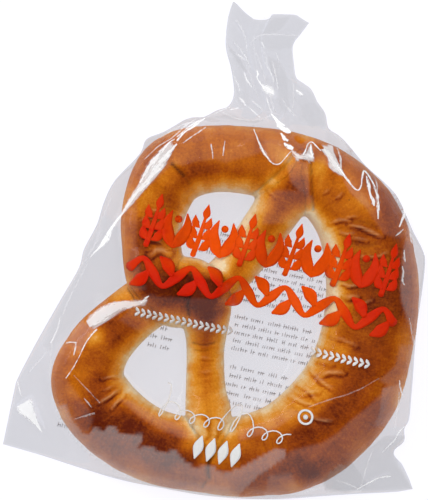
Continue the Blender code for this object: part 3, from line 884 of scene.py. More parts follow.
def distance_to_region(x, y, region):
    """Plan distance to the nearest point of a region."""
    nearest = np.full(len(x), np.inf)
    for px, py in region:
        nearest = np.minimum(nearest, (x - px) ** 2 + (y - py) ** 2)
    return np.sqrt(nearest)


def bake_levels(points, valley):
    """How dark the crust is, from 0, cream, to 1, dark brown: paler towards the holes, the outer rim
    and the valleys, and darker or lighter at the listed spots.
    """
    x, y, z = points.T
    holes, outside = loaf_plan()
    rim = outside[np.hypot(outside[:, 0], outside[:, 1] + 45) < RIM_REACH]
    from_hole = distance_to_region(x, y, holes) + 2.2 * lumps(x, y, z, 15, 21.0)
    from_outside = distance_to_region(x, y, rim)
    browning_and_shade = 0.02 + 0.36 * smoothstep(0, 7, from_hole) + 0.37 * smoothstep(4, 18, from_hole)
    browning_and_shade += 0.10 * (smoothstep(6, 14, from_outside) - smoothstep(18, 30, from_outside))
    browning_and_shade -= 0.20 * (1 - smoothstep(0, 9, from_outside))
    near_hole = 1 - smoothstep(6, 20, from_hole)
    browning_and_shade -= (0.05 + 0.25 * near_hole) * smoothstep(0.25, 1.3, valley)
    for column, row, reach, change in TONE_SPOTS:
        px, py = from_photo(column, row, CRUST_DEPTH)
        browning_and_shade += change * bell(np.hypot(x - px, y - py), PIXEL * reach)
    browning_and_shade += 0.05 * lumps(x, y, z, 26, 11.0) + 0.035 * lumps(x, y, z, 9, 5.0)
    return np.clip(browning_and_shade, 0, 1)


def rope_coordinates(points):
    """For each point, how far along the rope it lies and how far to its side, in mm."""
    curve = rope_curve()
    x, y, z = points.T
    best = np.full(len(points), np.inf)
    place = np.zeros((len(points), 2))
    stations = zip(curve, lengths_along(curve), headings(curve))
    for (px, py, half_width, base, height), far, (hx, hy) in stations:
        rise = (z - base - ROPE_WAIST * height) / height
        off = ((x - px) ** 2 + (y - py) ** 2) / half_width**2 + rise**2
        closer = off < best
        best[closer] = off[closer]
        place[closer, 0] = (far + (x - px) * hx + (y - py) * hy)[closer]
        place[closer, 1] = ((x - px) * hy - (y - py) * hx)[closer]
    return place


def crust_material(look):
    """Egg-washed crust: colour from how brown each place is, with mottling, streaks and specks, the
    painted shade of its puckers and cracks, and a painted highlight on the pucker crests.
    """
    material, wiring, shader = new_material("crust")
    place = wiring.place()
    along, aside = wiring.mask("along"), wiring.mask("aside")
    crosswise = wiring.point(wiring.times(along, 9.0), wiring.times(aside, 0.14))
    blotch = wiring.noise(place, 70.0, 4.0, 0.6)
    grain = wiring.noise(place, 560.0, 4.0, 0.75)
    streak = wiring.noise(wiring.point(along, aside), 1.0, 3.0)
    pucker = wiring.noise(crosswise, 1.0, 3.0)
    # Browning together with the painted shade below the puckers.
    level = wiring.mask("browning_and_shade")
    for pattern, amount in ((blotch, 0.27), (grain, 0.38), (streak, 0.10), (pucker, 0.16)):
        level = wiring.add(level, wiring.swing(pattern, amount))
    ramp = wiring.node("ShaderNodeValToRGB", Fac=level)
    stops = (0.00, 0.18, 0.40, 0.62, 0.82, 1.00)
    tones = (look.cream, look.pale_gold, look.gold, look.brown, look.dark_brown, look.darkest)
    while len(ramp.color_ramp.elements) < len(tones):
        ramp.color_ramp.elements.new(0.5)
    for element, position, colour in zip(ramp.color_ramp.elements, stops, tones):
        element.position = position
        element.color = colour
    speck = wiring.node("ShaderNodeTexVoronoi", Vector=place, Scale=110.0, Randomness=1.0)
    dot = wiring.less(1.0, wiring.between(speck.outputs["Distance"], 0.03, 0.09))
    draw = wiring.node("ShaderNodeSeparateColor", Color=speck.outputs["Color"]).outputs[0]
    chosen = wiring.times(dot, wiring.between(draw, 0.72, 0.74))
    burnt = wiring.times(chosen, 0.75)
    speckled = wiring.mix(burnt, ramp.outputs["Color"], look.speck)
    # Painted shade at the bottom of the cracks.
    crack_shaded = wiring.mix(wiring.mask("crack_shade"), speckled, look.crack_shade)
    # Painted highlight on the crests of the puckers.
    lit = wiring.mix(wiring.times(wiring.mask("gleam"), 0.36), crack_shaded, look.gleam)
    height = pucker
    for pattern, share in ((blotch, 0.8), (grain, 0.4)):
        height = wiring.add(height, wiring.times(pattern, share))
    wiring.bump(shader, height, 0.8, 0.0009)
    wiring.fill(shader, Base_Color=lit, Roughness=wiring.add(0.38, wiring.times(blotch, 0.22)))
    wiring.fill(shader, Specular_IOR_Level=0.1, Coat_Weight=look.egg_wash, Coat_Roughness=0.25)
    return material


def make_loaf(shape, look):
    loaf = piece_from(rope_mesh(), "kringle", [crust_material(look)])
    remesh = loaf.modifiers.new("one_body", "REMESH")
    remesh.mode = "VOXEL"
    remesh.voxel_size = shape.surface_step
    remesh.use_smooth_shade = True
    bake_modifiers(loaf)
    data = loaf.data
    knead(data, KNEADING)
    points, normals = points_of(data), normals_of(data)
    swell = lumps(*points.T, 30, 7.0) + 0.35 * lumps(*points.T, 11, 17.0)
    swell *= shape.lump_height / MM * smoothstep(-0.3, 0.4, normals[:, 2])
    depth, dark, shade, gleam = score_crust(points, normals)
    depth *= shape.crease_strength
    points = points + normals * (swell - np.abs(swell) * 0.5 - depth)[:, None]
    points[:, 2] = np.clip(points[:, 2], LOAF_LIFT, None)
    put_points(data, points)
    knead(data, 1)
    points = points_of(data)
    along, aside = rope_coordinates(points).T
    # The first mask holds the browning together with the painted shade below the puckers; the next holds
    # the painted shade in the cracks, and the third the painted highlight on the pucker crests.
    masks = {
        "browning_and_shade": np.clip(bake_levels(points, hollows(data)) + shade, 0, 1),
        "crack_shade": dark,
        "gleam": np.clip(gleam, 0, 1),
        "along": 0.035 * along,
        "aside": 0.45 * aside,
    }
    for name, values in masks.items():
        store_mask(data, name, values)
    data.shade_smooth()


# The bag


def x_of_fold(curve, y):
    return np.interp(y, curve[:, 1], curve[:, 0])


def outline_place(u, t):
    """x, y for a share u of the way across the bag and a share t of the way up it."""
    left = smooth_curve(LEFT_FOLD, 8)
    right = smooth_curve(RIGHT_FOLD, 8)
    left_y = left[0, 1] + t * (left[-1, 1] - left[0, 1])
    right_y = right[0, 1] + t * (right[-1, 1] - right[0, 1])
    left_x = x_of_fold(left, left_y)
    right_x = x_of_fold(right, right_y)
    x = left_x + u * (right_x - left_x)
    y = left_y + u * (right_y - left_y)
    for edge, nearness in ((BOTTOM_SEAL, 1 - t / SEAL_REACH), (MOUTH, 1 - (1 - t) / MOUTH_REACH)):
        bow = smooth_curve(edge, 8)
        start, end = bow[0], bow[-1]
        share = (bow[:, 0] - start[0]) / (end[0] - start[0])
        offset = bow[:, 1] - (start[1] + share * (end[1] - start[1]))
        y = y + np.interp(u, share, offset) * np.clip(nearness, 0, 1) ** 2
    return x, y


def solid_heights(tree, x, y, start):
    """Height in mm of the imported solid's front or back over every x, y. The rays are cast a
    little nearer the middle, so that they meet the solid at its rim too."""
    nearer_x = x + INWARD * (x.mean() - x)
    nearer_y = y + INWARD * (y.mean() - y)
    heights = np.empty(x.shape)
    for index in np.ndindex(x.shape):
        hit = surface_point(tree, nearer_x[index], nearer_y[index], RIM_HEIGHT, start)
        heights[index] = hit.z / MM
    return heights


def neck_pleats(u, y, settings, phase):
    """How far the gathered film folds sideways, as a share of its width, and how far it lifts."""
    gathered = smoothstep(*NECK, y)
    warped = u + 0.035 * np.sin(2 * math.pi * 1.6 * u + phase) + 0.012 * np.sin(0.06 * y + phase)
    angle = 2 * math.pi * settings.pleats * warped + 0.016 * (y - 100) + phase
    ends = np.sin(math.pi * u) ** 0.5
    slide = settings.pleat_overlap * np.sin(angle) / (2 * math.pi * settings.pleats)
    return gathered * ends * slide, gathered, 0.5 + 0.5 * np.cos(angle)


def crumple(x, y):
    """Soft creases of loose film, in mm either way."""
    total = np.zeros_like(x)
    bend = 6 * np.sin(x / 23 + 1.3 * np.sin(y / 31)) + 5 * np.sin(y / 19 + x / 41)
    for direction, length, height in ((22, 47, 0.8), (71, 36, 0.6), (118, 58, 0.9), (158, 29, 0.35)):
        angle = math.radians(direction)
        across = x * math.cos(angle) + y * math.sin(angle) + bend
        total += height * triangle_wave(2 * math.pi * across / length)
    return total


def evened(heights, rounds):
    """Heights with their steps smoothed out. The edges of the sheet stay as they are."""
    for _ in range(rounds):
        inner = heights[1:-1, 1:-1]
        mean = 0.25 * (heights[2:, 1:-1] + heights[:-2, 1:-1] + heights[1:-1, 2:] + heights[1:-1, :-2])
        heights[1:-1, 1:-1] = 0.5 * (inner + mean)
    return heights


def widened(heights):
    """The highest of each point and its neighbours, so that film clears steep flanks."""
    highest = heights.copy()
    for rows in (-1, 0, 1):
        for columns in (-1, 0, 1):
            highest = np.maximum(highest, np.roll(heights, (rows, columns), (0, 1)))
    return highest


def film_sheen_and_shade(x, y, backed):
    """How much painted reflection, glint and shade lies on the film at every x, y, and how bright it
    is. Thin white painted haze needs crust behind it."""
    cover = np.zeros_like(x)
    shade = np.ones_like(x)
    for strength, tone, softness, pixels in FILM_SHEEN_AND_SHADE:
        ring = traced(pixels + pixels[:1])
        softness = PIXEL * softness
        inside = np.zeros(x.shape, bool)
        away = np.full(x.shape, np.inf)
        for (ax, ay), (bx, by) in zip(ring[:-1], ring[1:]):
            crosses = (ay > y) != (by > y)
            inside ^= crosses & (x < ax + (y - ay) * (bx - ax) / ((by - ay) or 1e-9))
            away = np.minimum(away, distance_to_line(x, y, ((ax, ay), (bx, by))))
        mask = strength * smoothstep(-softness, softness, np.where(inside, away, -away))
        if tone > WHITE_TONE and strength < THICK_HAZE:
            mask = mask * backed
        shade = np.where(mask > cover, tone, shade)
        cover = np.maximum(cover, mask)
    return cover, shade


def film_rise(x, y, top, crumpling):
    """How far the front film stands up: in crumples, small ones over the bread, and along each
    bright crease."""
    rise = crumple(x, y) * crumpling * (1 - 0.88 * smoothstep(10, 30, top))
    for strength, _, pixels in STREAKS:
        points = traced(pixels)
        line = [point[:2] for point in points]
        half_width = 1.2 + max(point[2] for point in points)
        rise += 0.5 * strength * bell(distance_to_line(x, y, line), half_width)
    return rise


def film_sheets(settings, loaf):
    """Points of the front and back film over an even grid of shares across and up the bag."""
    tree = pack_tree()
    bread = tree_of(loaf.data)
    ups, acrosses = np.linspace(0, 1, FILM_ROWS + 1), np.linspace(0, 1, FILM_COLUMNS + 1)
    t, u = np.meshgrid(ups, acrosses, indexing="ij")
    x, y = outline_place(u, t)
    top = solid_heights(tree, x, y, RAY_START)
    under = solid_heights(tree, x, y, -RAY_START)
    rim = 0.5 * (top + under)
    axis = rim.mean(axis=1, keepdims=True)
    half = 0.5 * (top - under).mean(axis=1, keepdims=True)
    width = x[:, -1:] - x[:, :1]
    round_edge = np.sin(math.pi * u) ** 0.5
    inside = np.minimum(1, 14 * np.minimum(u, 1 - u)) * np.minimum(1, 18 * t)
    rise = film_rise(x, y, top, settings.crumple)
    sheets = []
    for side, flat, phase in ((1, top, 0.4), (-1, under, 2.1)):
        slide, gathered, lift = neck_pleats(u, y, settings, phase)
        even = evened(flat.copy(), settings.evening)
        if side > 0:
            even = even + rise * inside
            crust = widened(crust_heights(bread, x, y))
            even = np.maximum(even, crust + FILM_GAP)
            even = np.maximum(evened(even, 2), crust + CRUST_GAP)
        pleated = axis + side * half * round_edge * (1 - settings.pleat_depth * (1 - lift))
        z = even + (pleated - even) * gathered
        sheets.append(np.stack([x + slide * width, y, z], axis=2))
    front, back = sheets
    back[:, :, 2] = np.maximum(back[:, :, 2], FILM_FLOOR)
    gap = FILM_GAP * np.minimum(1, 30 * inside)
    front[:, :, 2] = np.maximum(front[:, :, 2], back[:, :, 2] + gap)
    edge = (u < EDGE) | (u > 1 - EDGE) | (t < EDGE)
    front[edge] = np.stack([x, y, rim + RIM_GAP], axis=2)[edge]
    back[edge] = np.stack([x, y, np.maximum(rim - RIM_GAP, FILM_FLOOR)], axis=2)[edge]
    low, high = (np.array(corner) / MM for corner in CAD_BOX)
    low, high = low + SIDE_MARGIN, high - (SIDE_MARGIN, SIDE_MARGIN, TOP_MARGIN)
    return np.clip(front, low, high), np.clip(back, low, high)


def tree_of(data):
    corners = [vertex.co.copy() for vertex in data.vertices]
    return BVHTree.FromPolygons(corners, [tuple(face.vertices) for face in data.polygons])


@functools.cache
def pack_tree():
    """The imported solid, for rays."""
    return tree_of(frame["nodes"]["bag"].data)


def ray_hit(tree, x, y, start=RAY_START):
    """Where a ray from straight above, or from straight below, meets a mesh, and on which face."""
    place, _, face, _ = tree.ray_cast(Vector((x * MM, y * MM, start)), Vector((0, 0, -start)))
    return place, face


def surface_point(tree, x, y, beside, start=RAY_START):
    """Where a ray meets a mesh. If it goes past, the mesh's nearest point to a height beside it."""
    hit, _ = ray_hit(tree, x, y, start)
    if hit is None:
        hit, _, _, _ = tree.find_nearest(Vector((x * MM, y * MM, beside)))
    return hit


def height_under(tree, x, y):
    """Height in mm of what a ray from above meets at x, y, or None."""
    hit, _ = ray_hit(tree, x, y)
    return None if hit is None else hit.z / MM


def from_photo(column, row, below=0.0):
    """x, y in mm of the place on the pack's front, or so far below it, that a pixel shows."""
    right = (column - PHOTO_WIDTH / 2) * PIXEL
    up = (PHOTO_HEIGHT / 2 - row) * PIXEL
    cosine, sine = math.cos(CAMERA_ROLL), math.sin(CAMERA_ROLL)
    z = MIDDLE_HEIGHT
    for _ in range(SEEK_ROUNDS):
        nearer = (CAMERA_HEIGHT - z) / (CAMERA_HEIGHT - SUBJECT_HEIGHT)
        x = CAMERA_X + nearer * (right * cosine - up * sine)
        y = CAMERA_Y + nearer * (right * sine + up * cosine)
        found = height_under(pack_tree(), x, y)
        if found is None:
            break
        z = 0.5 * z + 0.5 * (found - below)
    return x, y


def traced(pixels, below=0.0):
    """A trace's points in mm. Widths that follow a point's place are turned to mm too."""
    return [
        (*from_photo(column, row, below), *(PIXEL * width for width in widths))
        for column, row, *widths in pixels
    ]


def crust_heights(tree, x, y):
    """Height of the crust under every x, y, and far below where there is none."""
    heights = np.full(x.shape, NO_CRUST)
    for index in np.ndindex(x.shape):
        found = height_under(tree, x[index], y[index])
        if found is not None:
            heights[index] = found
    return heights


def crust_darkness(loaf, x, y):
    """How dark the crust under every x, y is, its browning and painted shade together. 0 where there
    is none.
    """
    tree = tree_of(loaf.data)
    browning_and_shade = loaf.data.attributes["browning_and_shade"].data
    brown = np.zeros(x.shape)
    for index in np.ndindex(x.shape):
        _, face = ray_hit(tree, x[index], y[index])
        if face is not None:
            brown[index] = browning_and_shade[loaf.data.polygons[face].vertices[0]].value
    return brown


def film_grid(mesh, places, material_index):
    """One side of the bag as a grid of quads, laid on its points."""
    made = bmesh.ops.create_grid(mesh, x_segments=FILM_COLUMNS, y_segments=FILM_ROWS, size=0.5)
    for vertex in made["verts"]:
        column = round((vertex.co.x + 0.5) * FILM_COLUMNS)
        row = round((vertex.co.y + 0.5) * FILM_ROWS)
        vertex.co = places[row, column] * MM
    for face in {face for vertex in made["verts"] for face in vertex.link_faces}:
        face.material_index = material_index


def film_material(name, settings, colour, opacity):
    """Clear film: a thin mirror over what it lets through, with painted haze, glints and shade where
    the masks put them.
    """
    material, wiring, shader = new_material(name)
    wiring.bump(shader, wiring.noise(wiring.place(), 45.0, 2.0), 0.25, 0.001)
    steep = wiring.node("ShaderNodeLayerWeight", Blend=0.30).outputs["Fresnel"]
    slack = wiring.less(1.0, wiring.times(wiring.mask("over_hole"), 0.18))
    mirror = wiring.add(wiring.times(steep, settings.edge_sheen), wiring.times(slack, opacity))
    # Painted reflections, glints and shade, with the brightness of each.
    sheen_and_shade, shade = wiring.mask("sheen_and_shade"), wiring.mask("shade")
    alpha = wiring.add(mirror, sheen_and_shade, clamp=True)
    share = wiring.over(sheen_and_shade, alpha, clamp=True)
    grey = wiring.node("ShaderNodeCombineColor", Red=shade, Green=shade, Blue=shade).outputs[0]
    seen = wiring.mix(share, tuple(colour), grey)
    wiring.fill(shader, Base_Color=seen, Metallic=wiring.less(1.0, share), Alpha=alpha)
    wiring.fill(shader, Specular_IOR_Level=0.0, Roughness=settings.roughness)
    return material


def streak_material(settings):
    """Painted highlights of creased film: white, glossy and faintly glowing, fading out at their
    edges.
    """
    material, wiring, shader = new_material("film_painted_glint")
    across, width, softness = (wiring.mask(name) for name in ("across", "width", "softness"))
    broken = wiring.noise(wiring.place(), 420.0, 2.0)
    torn = wiring.noise(wiring.point(wiring.mask("along"), across, width), 2.6, 3.0)
    spread = wiring.add(1.0, width)
    ragged = wiring.swing(broken, wiring.over(1.9, spread))
    slits = wiring.swing(torn, wiring.over(4.0, spread), 0.47)
    off = wiring.add(wiring.math("ABSOLUTE", across), wiring.add(ragged, slits))
    fade = wiring.over(wiring.less(off, wiring.less(0.95, softness)), softness, clamp=True)
    cover = wiring.times(wiring.less(1.0, fade), wiring.mask("strength"))
    colour = settings.streak_colour
    wiring.fill(shader, Alpha=wiring.times(cover, settings.streak_strength, clamp=True))
    wiring.fill(shader, Base_Color=colour, Emission_Color=colour, Emission_Strength=0.12)
    wiring.fill(shader, Roughness=0.25)
    return material


def turn_up(mesh):
    """Turns every face of a flat mesh upwards."""
    bmesh.ops.recalc_face_normals(mesh, faces=mesh.faces)
    bmesh.ops.reverse_faces(mesh, faces=[face for face in mesh.faces if face.normal.z < 0])


def ribbon(mesh, line, across):
    """Lays a flat grid along a line of x, y and half width. Gives for each vertex its station on
    the line, its place across, from -1 to 1, and the way that the line runs there."""
    length = len(line) - 1
    heading = headings(line)
    made = bmesh.ops.create_grid(mesh, x_segments=length, y_segments=across, size=0.5)
    placed = []
    for vertex in made["verts"]:
        station = round((vertex.co.x + 0.5) * length)
        share = 2 * (vertex.co.y + 0.5) - 1
        x, y, half_width = line[station]
        hx, hy = heading[station]
        vertex.co = (x - hy * half_width * share, y + hx * half_width * share, 0.0)
        placed.append((vertex, station, share, Vector((hx, hy, 0.0))))
    return placed


def streak_ribbon(mesh, strength, softness, points):
    """One painted crease highlight as a flat ribbon that remembers how far each point lies from its
    middle.
    """
    layers = [mesh.verts.layers.float.get(name) for name in STREAK_MASKS]
    line = smooth_curve(points, 8)
    far = lengths_along(line) + 10 * line[0, 0]
    widest = max(point[2] for point in points)
    for vertex, station, share, _ in ribbon(mesh, line, 6):
        values = (share, strength, softness, 0.06 * far[station], 0.3 * widest)
        for layer, value in zip(layers, values):
            vertex[layer] = value


def make_streaks(settings, film):
    """The painted crease highlights, laid on the front film."""
    mesh = bmesh.new()
    for name in STREAK_MASKS:
        mesh.verts.layers.float.new(name)
    for strength, softness, pixels in STREAKS:
        streak_ribbon(mesh, strength, softness, traced(pixels))
    turn_up(mesh)
    lay_on_film(mesh, tree_of(film.data), settings.streak_lift)
    piece_from(mesh, "film_painted_glints", [streak_material(settings)])


def make_film(settings, loaf):
    materials = [
        film_material("film_front", settings, settings.front_colour, settings.front_opacity),
        film_material("film_back", settings, settings.back_colour, settings.back_opacity),
    ]
    mesh = bmesh.new()
    for index, places in enumerate(film_sheets(settings, loaf)):
        film_grid(mesh, places, index)
    bmesh.ops.bridge_loops(mesh, edges=[edge for edge in mesh.edges if edge.is_boundary])
    bmesh.ops.recalc_face_normals(mesh, faces=mesh.faces)
    film = piece_from(mesh, "bag_film", materials)
    x, y, _ = points_of(film.data).T
    backed = smoothstep(-1, 4, crust_heights(tree_of(loaf.data), x, y))
    # Painted reflections, glints and shade on the film, from the listed patches.
    cover, shade = film_sheen_and_shade(x, y, backed)
    on_front = normals_of(film.data)[:, 2] > 0
    over_hole = 1 - smoothstep(0, 6, distance_to_region(x, y, loaf_plan()[0]))
    store_mask(film.data, "sheen_and_shade", cover * on_front)
    store_mask(film.data, "shade", shade)
    store_mask(film.data, "over_hole", over_hole * ~on_front)
    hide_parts("bag")
    make_streaks(settings, film)


# The print


def stroke(mesh, points, per_span=8, across=4):
    """A brush stroke through points of x, y and half width, as a flat ribbon with round ends."""
    line = smooth_curve(points, per_span)
    last = len(line) - 1
    for vertex, station, share, way in ribbon(mesh, line, across):
        if station in (0, last):
            roundness = BRUSH_ROUNDNESS * math.sqrt(max(0.0, 1 - share * share))
            vertex.co += way * (roundness * line[station, 2] * (1 if station else -1))


def disc(mesh, x, y, radius):
    made = bmesh.ops.create_circle(mesh, cap_ends=True, segments=16, radius=radius)
    bmesh.ops.translate(mesh, verts=made["verts"], vec=(x, y, 0))


def mark(mesh, x, y, shape, size=1.0, side=1, **detail):
    """A stroke of a shape set down at x, y. A side of -1 mirrors it."""
    stroke(mesh, [(x + side * size * a, y + size * b, size * w) for a, b, w in shape], **detail)


def wheat_ear(mesh, x, y, height):
    """A stem with three pairs of grains and one at the tip."""
    part = height / 36
    mark(mesh, x, y, ((-2, 0, 2.2), (0, 14, 1.9), (1.5, 30, 1.1)), part)
    grain = ((0, 0, 0.6), (4.2, 3.6, 3.5), (5.6, 10.5, 0.4))
    for row, level in enumerate((5, 13.5, 22)):
        for side in (-1, 1):
            foot_x, foot_y = x + side * 1.4 * part, y + level * part
            mark(mesh, foot_x, foot_y, grain, part * (1.0 - 0.07 * row), side)
    mark(mesh, x, y, ((1.5, 29, 0.8), (1.9, 34, 3.0), (2.2, 41, 0.3)), part)


def leaf_pair(mesh, x, y, size):
    """Two broad leaves that open from one foot, with a bud between."""
    leaf = ((0, -1, 1.0), (3.8, 5, 4.1), (7.0, 14.5, 3.4), (5.2, 24, 0.5))
    for side in (-1, 1):
        mark(mesh, x, y, leaf, size, side)
    disc(mesh, x, y + 19 * size, 2.6 * size)


def vine(mesh, left, right, y, rise, half_width):
    """A running wave with a leaf in every bend."""
    quarters = 22
    span = (right - left) / quarters
    wave = []
    for quarter in range(quarters + 1):
        turn = quarter * math.pi / 2
        width = half_width * (0.55 + 0.45 * abs(math.cos(turn)))
        wave.append((left + quarter * span, y + rise * math.sin(turn), width))
    stroke(mesh, wave, per_span=6)
    for quarter in range(1, quarters, 2):
        up = 1 if quarter % 4 == 1 else -1
        x, foot = left + quarter * span, y - up * rise * 0.05
        leaf = ((0.6, 0, 0.5), (0.1, 0.8, 1.25), (-0.65, 1.35, 0.3))
        stroke(mesh, [(x + a * span, foot - up * b * rise, w * half_width) for a, b, w in leaf])


def lay_on_film(mesh, tree, lift):
    """Drops a flat mesh onto the front film, and what lies past its edge onto that edge."""
    for vertex in mesh.verts:
        hit = surface_point(tree, vertex.co.x, vertex.co.y, FILM_EDGE_HEIGHT)
        vertex.co = (hit.x, hit.y, hit.z + lift)


def ink_material(name, over_pale, over_crust):
    """Ink of one colour over pale places and a deeper one over the crust behind it, a little patchy."""
    material, wiring, shader = new_material(name)
    ink = wiring.mix(wiring.mask("backed"), tuple(over_pale), tuple(over_crust))
    shade = wiring.add(0.90, wiring.times(wiring.noise(wiring.place(), 350.0, 2.0), 0.2))
    dimmed = wiring.node("ShaderNodeHueSaturation", Color=ink, Value=shade).outputs[0]
    wiring.fill(shader, Base_Color=dimmed, Roughness=0.4, Specular_IOR_Level=0.12)
    return material


def finish_print(mesh, tree, loaf, name, material, lift):
    """Turns flat strokes into thin ink that faces up."""
    turn_up(mesh)
    if tree is None:
        for vertex in mesh.verts:
            vertex.co = (vertex.co.x * MM, vertex.co.y * MM, lift)
    else:
        lay_on_film(mesh, tree, lift)
    piece = piece_from(mesh, name, [material])
    solid = piece.modifiers.new("ink_thickness", "SOLIDIFY")
    solid.thickness = INK_THICKNESS * MM
    solid.offset = 1.0
    bake_modifiers(piece)
    if tree is not None:
        x, y, _ = points_of(piece.data).T
        store_mask(piece.data, "backed", crust_darkness(loaf, x, y))


def orange_ornament(mesh):
    """The two rows of grain and leaf ornament across the front."""
    for i in range(6):
        wheat_ear(mesh, -81 + i * ORNAMENT_PITCH, -9, 36.5)
    for i in range(5):
        leaf_pair(mesh, -62.5 + i * ORNAMENT_PITCH, -5, 1.12)
    vine(mesh, -92, 116, -28, 9.0, 3.9)


def lying_ear(mesh, left, right, y):
    """A row of slanting grains above and below the line at y."""
    for x in np.arange(left, right, 4.6):
        for side in (-1, 1):
            grain = ((0, side * 3.4, 0.4), (1.0, side * 1.8, 1.25), (3.2, 0, 0.4))
            mark(mesh, x, y, grain, per_span=3, across=2)


def scroll(mesh, left, y):
    """A line of loops, of which two stand tall."""
    turns = np.linspace(0, 9, 110)
    along = 11.5 * turns
    tall = 4.5 + 9 * bell(along - 2, 7) + 9 * bell(along - 62, 7)
    round_x, round_y = np.sin(2 * math.pi * turns), np.cos(2 * math.pi * turns)
    x = left + along + 4.2 * round_x + 0.3 * tall * round_y
    stroke(mesh, [(px, py, 0.48) for px, py in zip(x, y + tall + tall * round_y)], 1, 2)


def white_ornament(mesh):
    """White marks: two lying ears of grain, a looped scroll, a ring and four grains."""
    lying_ear(mesh, -80, -4, -60.8)
    lying_ear(mesh, 60, 104, -62.8)
    scroll(mesh, -48, -137)
    turns = np.linspace(0, 2 * math.pi, 13)
    ring = [(5.2 * math.cos(turn), 5.2 * math.sin(turn), 0.85) for turn in turns]
    mark(mesh, 65, -112.6, ring, per_span=3, across=2)
    disc(mesh, 65, -112.6, 1.9)
    for i in range(4):
        mark(mesh, -12 + i * 9.8, -162.5, ((0, 0, 0.5), (1.2, 9.5, 4.0), (2.4, 18.5, 0.5)))


def grey_print(mesh):
    """Rows of short grey ticks, where the small print on the back shows through the holes."""
    random = np.random.default_rng(7)
    blocks = (
        (-44, -2, 12, -9, 5.4),
        (-4, 66, 2, -38, 5.4),
        (-4, 62, -50, -78, 6.3),
        (0, 50, -90, -122, 7.0),
        (-70, -56, -64, -90, 7.5),
        (-96, -84, -78, -94, 6.0),
        (-124, -114, -158, -168, 6.0),
    )
    for left, right, high, low, pitch in blocks:
        for y in np.arange(high, low, -pitch):
            x = left + random.uniform(0, 4)
            while x < right:
                for _ in range(random.integers(2, 8)):
                    tall = random.choice((1.2, 1.2, 2.2))
                    mark(mesh, x, y, ((0, -1.3, 0.30), (0.2, tall, 0.30)), per_span=1, across=1)
                    if random.random() < 0.5:
                        mark(mesh, x, y, ((0, 0.3, 0.28), (1.5, 0.3, 0.28)), per_span=1, across=1)
                    x += random.uniform(1.5, 2.1)
                x += random.uniform(1.8, 3.4)


def make_print(look, film, loaf):
    tree = tree_of(film.data)
    jobs = (
        ("print_orange", orange_ornament, look.orange, look.deep_orange, tree, look.ink_lift),
        ("print_white", white_ornament, look.white, look.white, tree, look.ink_lift),
        ("print_grey", grey_print, look.grey, look.grey, None, BACK_PRINT_HEIGHT * MM),
    )
    for name, draw, over_pale, over_crust, surface, lift in jobs:
        mesh = bmesh.new()
        draw(mesh)
        finish_print(mesh, surface, loaf, name, ink_material(name, over_pale, over_crust), lift)


# The stage


def area_light(name, place, aim, size, power, seen_in_gloss=True):
    light = bpy.data.lights.new(name, "AREA")
    light.shape = "RECTANGLE"
    light.size, light.size_y = size
    light.energy = power
    lamp = bpy.data.objects.new(name, light)
    bpy.context.scene.collection.objects.link(lamp)
    lamp.location = place
    lamp.visible_glossy = seen_in_gloss
    lamp.rotation_euler = (Vector(aim) - Vector(place)).to_track_quat("-Z", "Y").to_euler()


def stage_floor(colour, glow, glow_share):
    """White paper on a light table, so that it stays even under the pack."""
    mesh = bmesh.new()
    bmesh.ops.create_grid(mesh, x_segments=1, y_segments=1, size=FLOOR_REACH)
    bmesh.ops.translate(mesh, verts=mesh.verts, vec=(0, 0, -FLOOR_DROP * MM))
    material, wiring, shader = new_material("stage_paper")
    wiring.bump(shader, wiring.noise(wiring.place(), 900.0, 2.0), 0.05, 0.0002)
    lit = (*(glow_share * channel for channel in colour[:3]), 1.0)
    wiring.fill(shader, Base_Color=lit, Roughness=0.9)
    wiring.fill(shader, Emission_Color=colour, Emission_Strength=glow)
    object_from(mesh, "stage_floor", [material])


def stage_world(strength):
    """Dark overhead, so that flat film stays clear, and pale towards the sides."""
    world = bpy.data.worlds.new("studio")
    bpy.context.scene.world = world
    world.use_nodes = True
    wiring = Wiring(world.node_tree)
    background = world.node_tree.nodes["Background"]
    way = wiring.node("ShaderNodeTexCoord").outputs["Generated"]
    height = wiring.node("ShaderNodeSeparateXYZ", Vector=way).outputs["Z"]
    low = wiring.less(1.0, wiring.between(height, 0.1, 0.85))
    wiring.fill(background, Color=wiring.mix(low, OVERHEAD, SURROUND), Strength=strength)


def stage_camera(settings):
    camera = bpy.data.cameras.new("camera")
    camera.sensor_width = SENSOR_WIDTH
    distance = settings.camera_height - settings.subject_height
    camera.lens = SENSOR_WIDTH * distance / settings.framed_length
    camera.clip_end = VIEW_LIMIT
    view = bpy.data.objects.new("camera", camera)
    bpy.context.scene.collection.objects.link(view)
    view.location = (settings.camera_x, settings.camera_y, settings.camera_height)
    view.rotation_euler = (0.0, 0.0, settings.camera_roll)
    bpy.context.scene.camera = view


def make_stage(settings):
    stage_floor(settings.floor, settings.floor_glow, settings.floor_share)
    stage_world(settings.world_strength)
    area_light("key", (-0.95, 0.62, 0.66), (0, 0, 0.03), (1.3, 0.16), settings.key_power)
    area_light("side", (-0.9, 0.7, 1.2), (0, 0, 0), (0.8, 0.8), settings.side_power, False)
    area_light("top", (0.1, 0.1, 1.7), (0, 0, 0), (1.4, 1.4), settings.top_power, False)
    stage_camera(settings)
    scene = bpy.context.scene
    scene.view_settings.view_transform = "Standard"
    scene.view_settings.look = "None"
    scene.cycles.transparent_max_bounces = 32


# The add-on


def colour_property(name, description, default):
    return bpy.props.FloatVectorProperty(
        name=name, description=description, subtype="COLOR", size=4, min=0, max=1, default=default
    )


def number_property(name, description, default, **limits):
    return bpy.props.FloatProperty(name=name, description=description, default=default, **limits)


def length_property(name, description, default, **limits):
    return number_property(name, description, default, unit="LENGTH", **limits)


def power_property(name, description, default):
    return number_property(name, description, default, min=0, unit="POWER")


class LoafShape(bpy.types.PropertyGroup):
    surface_step: length_property(
        "Surface step", "Distance between points of the crust", 0.00143, min=0.001
    )
    lump_height: length_property("Lump height", "How uneven the dough is", 0.0011, min=0)
    crease_strength: number_property(
        "Crease strength", "Depth of cracks and puckers, as a share of the listed depth", 1.0, min=0
    )


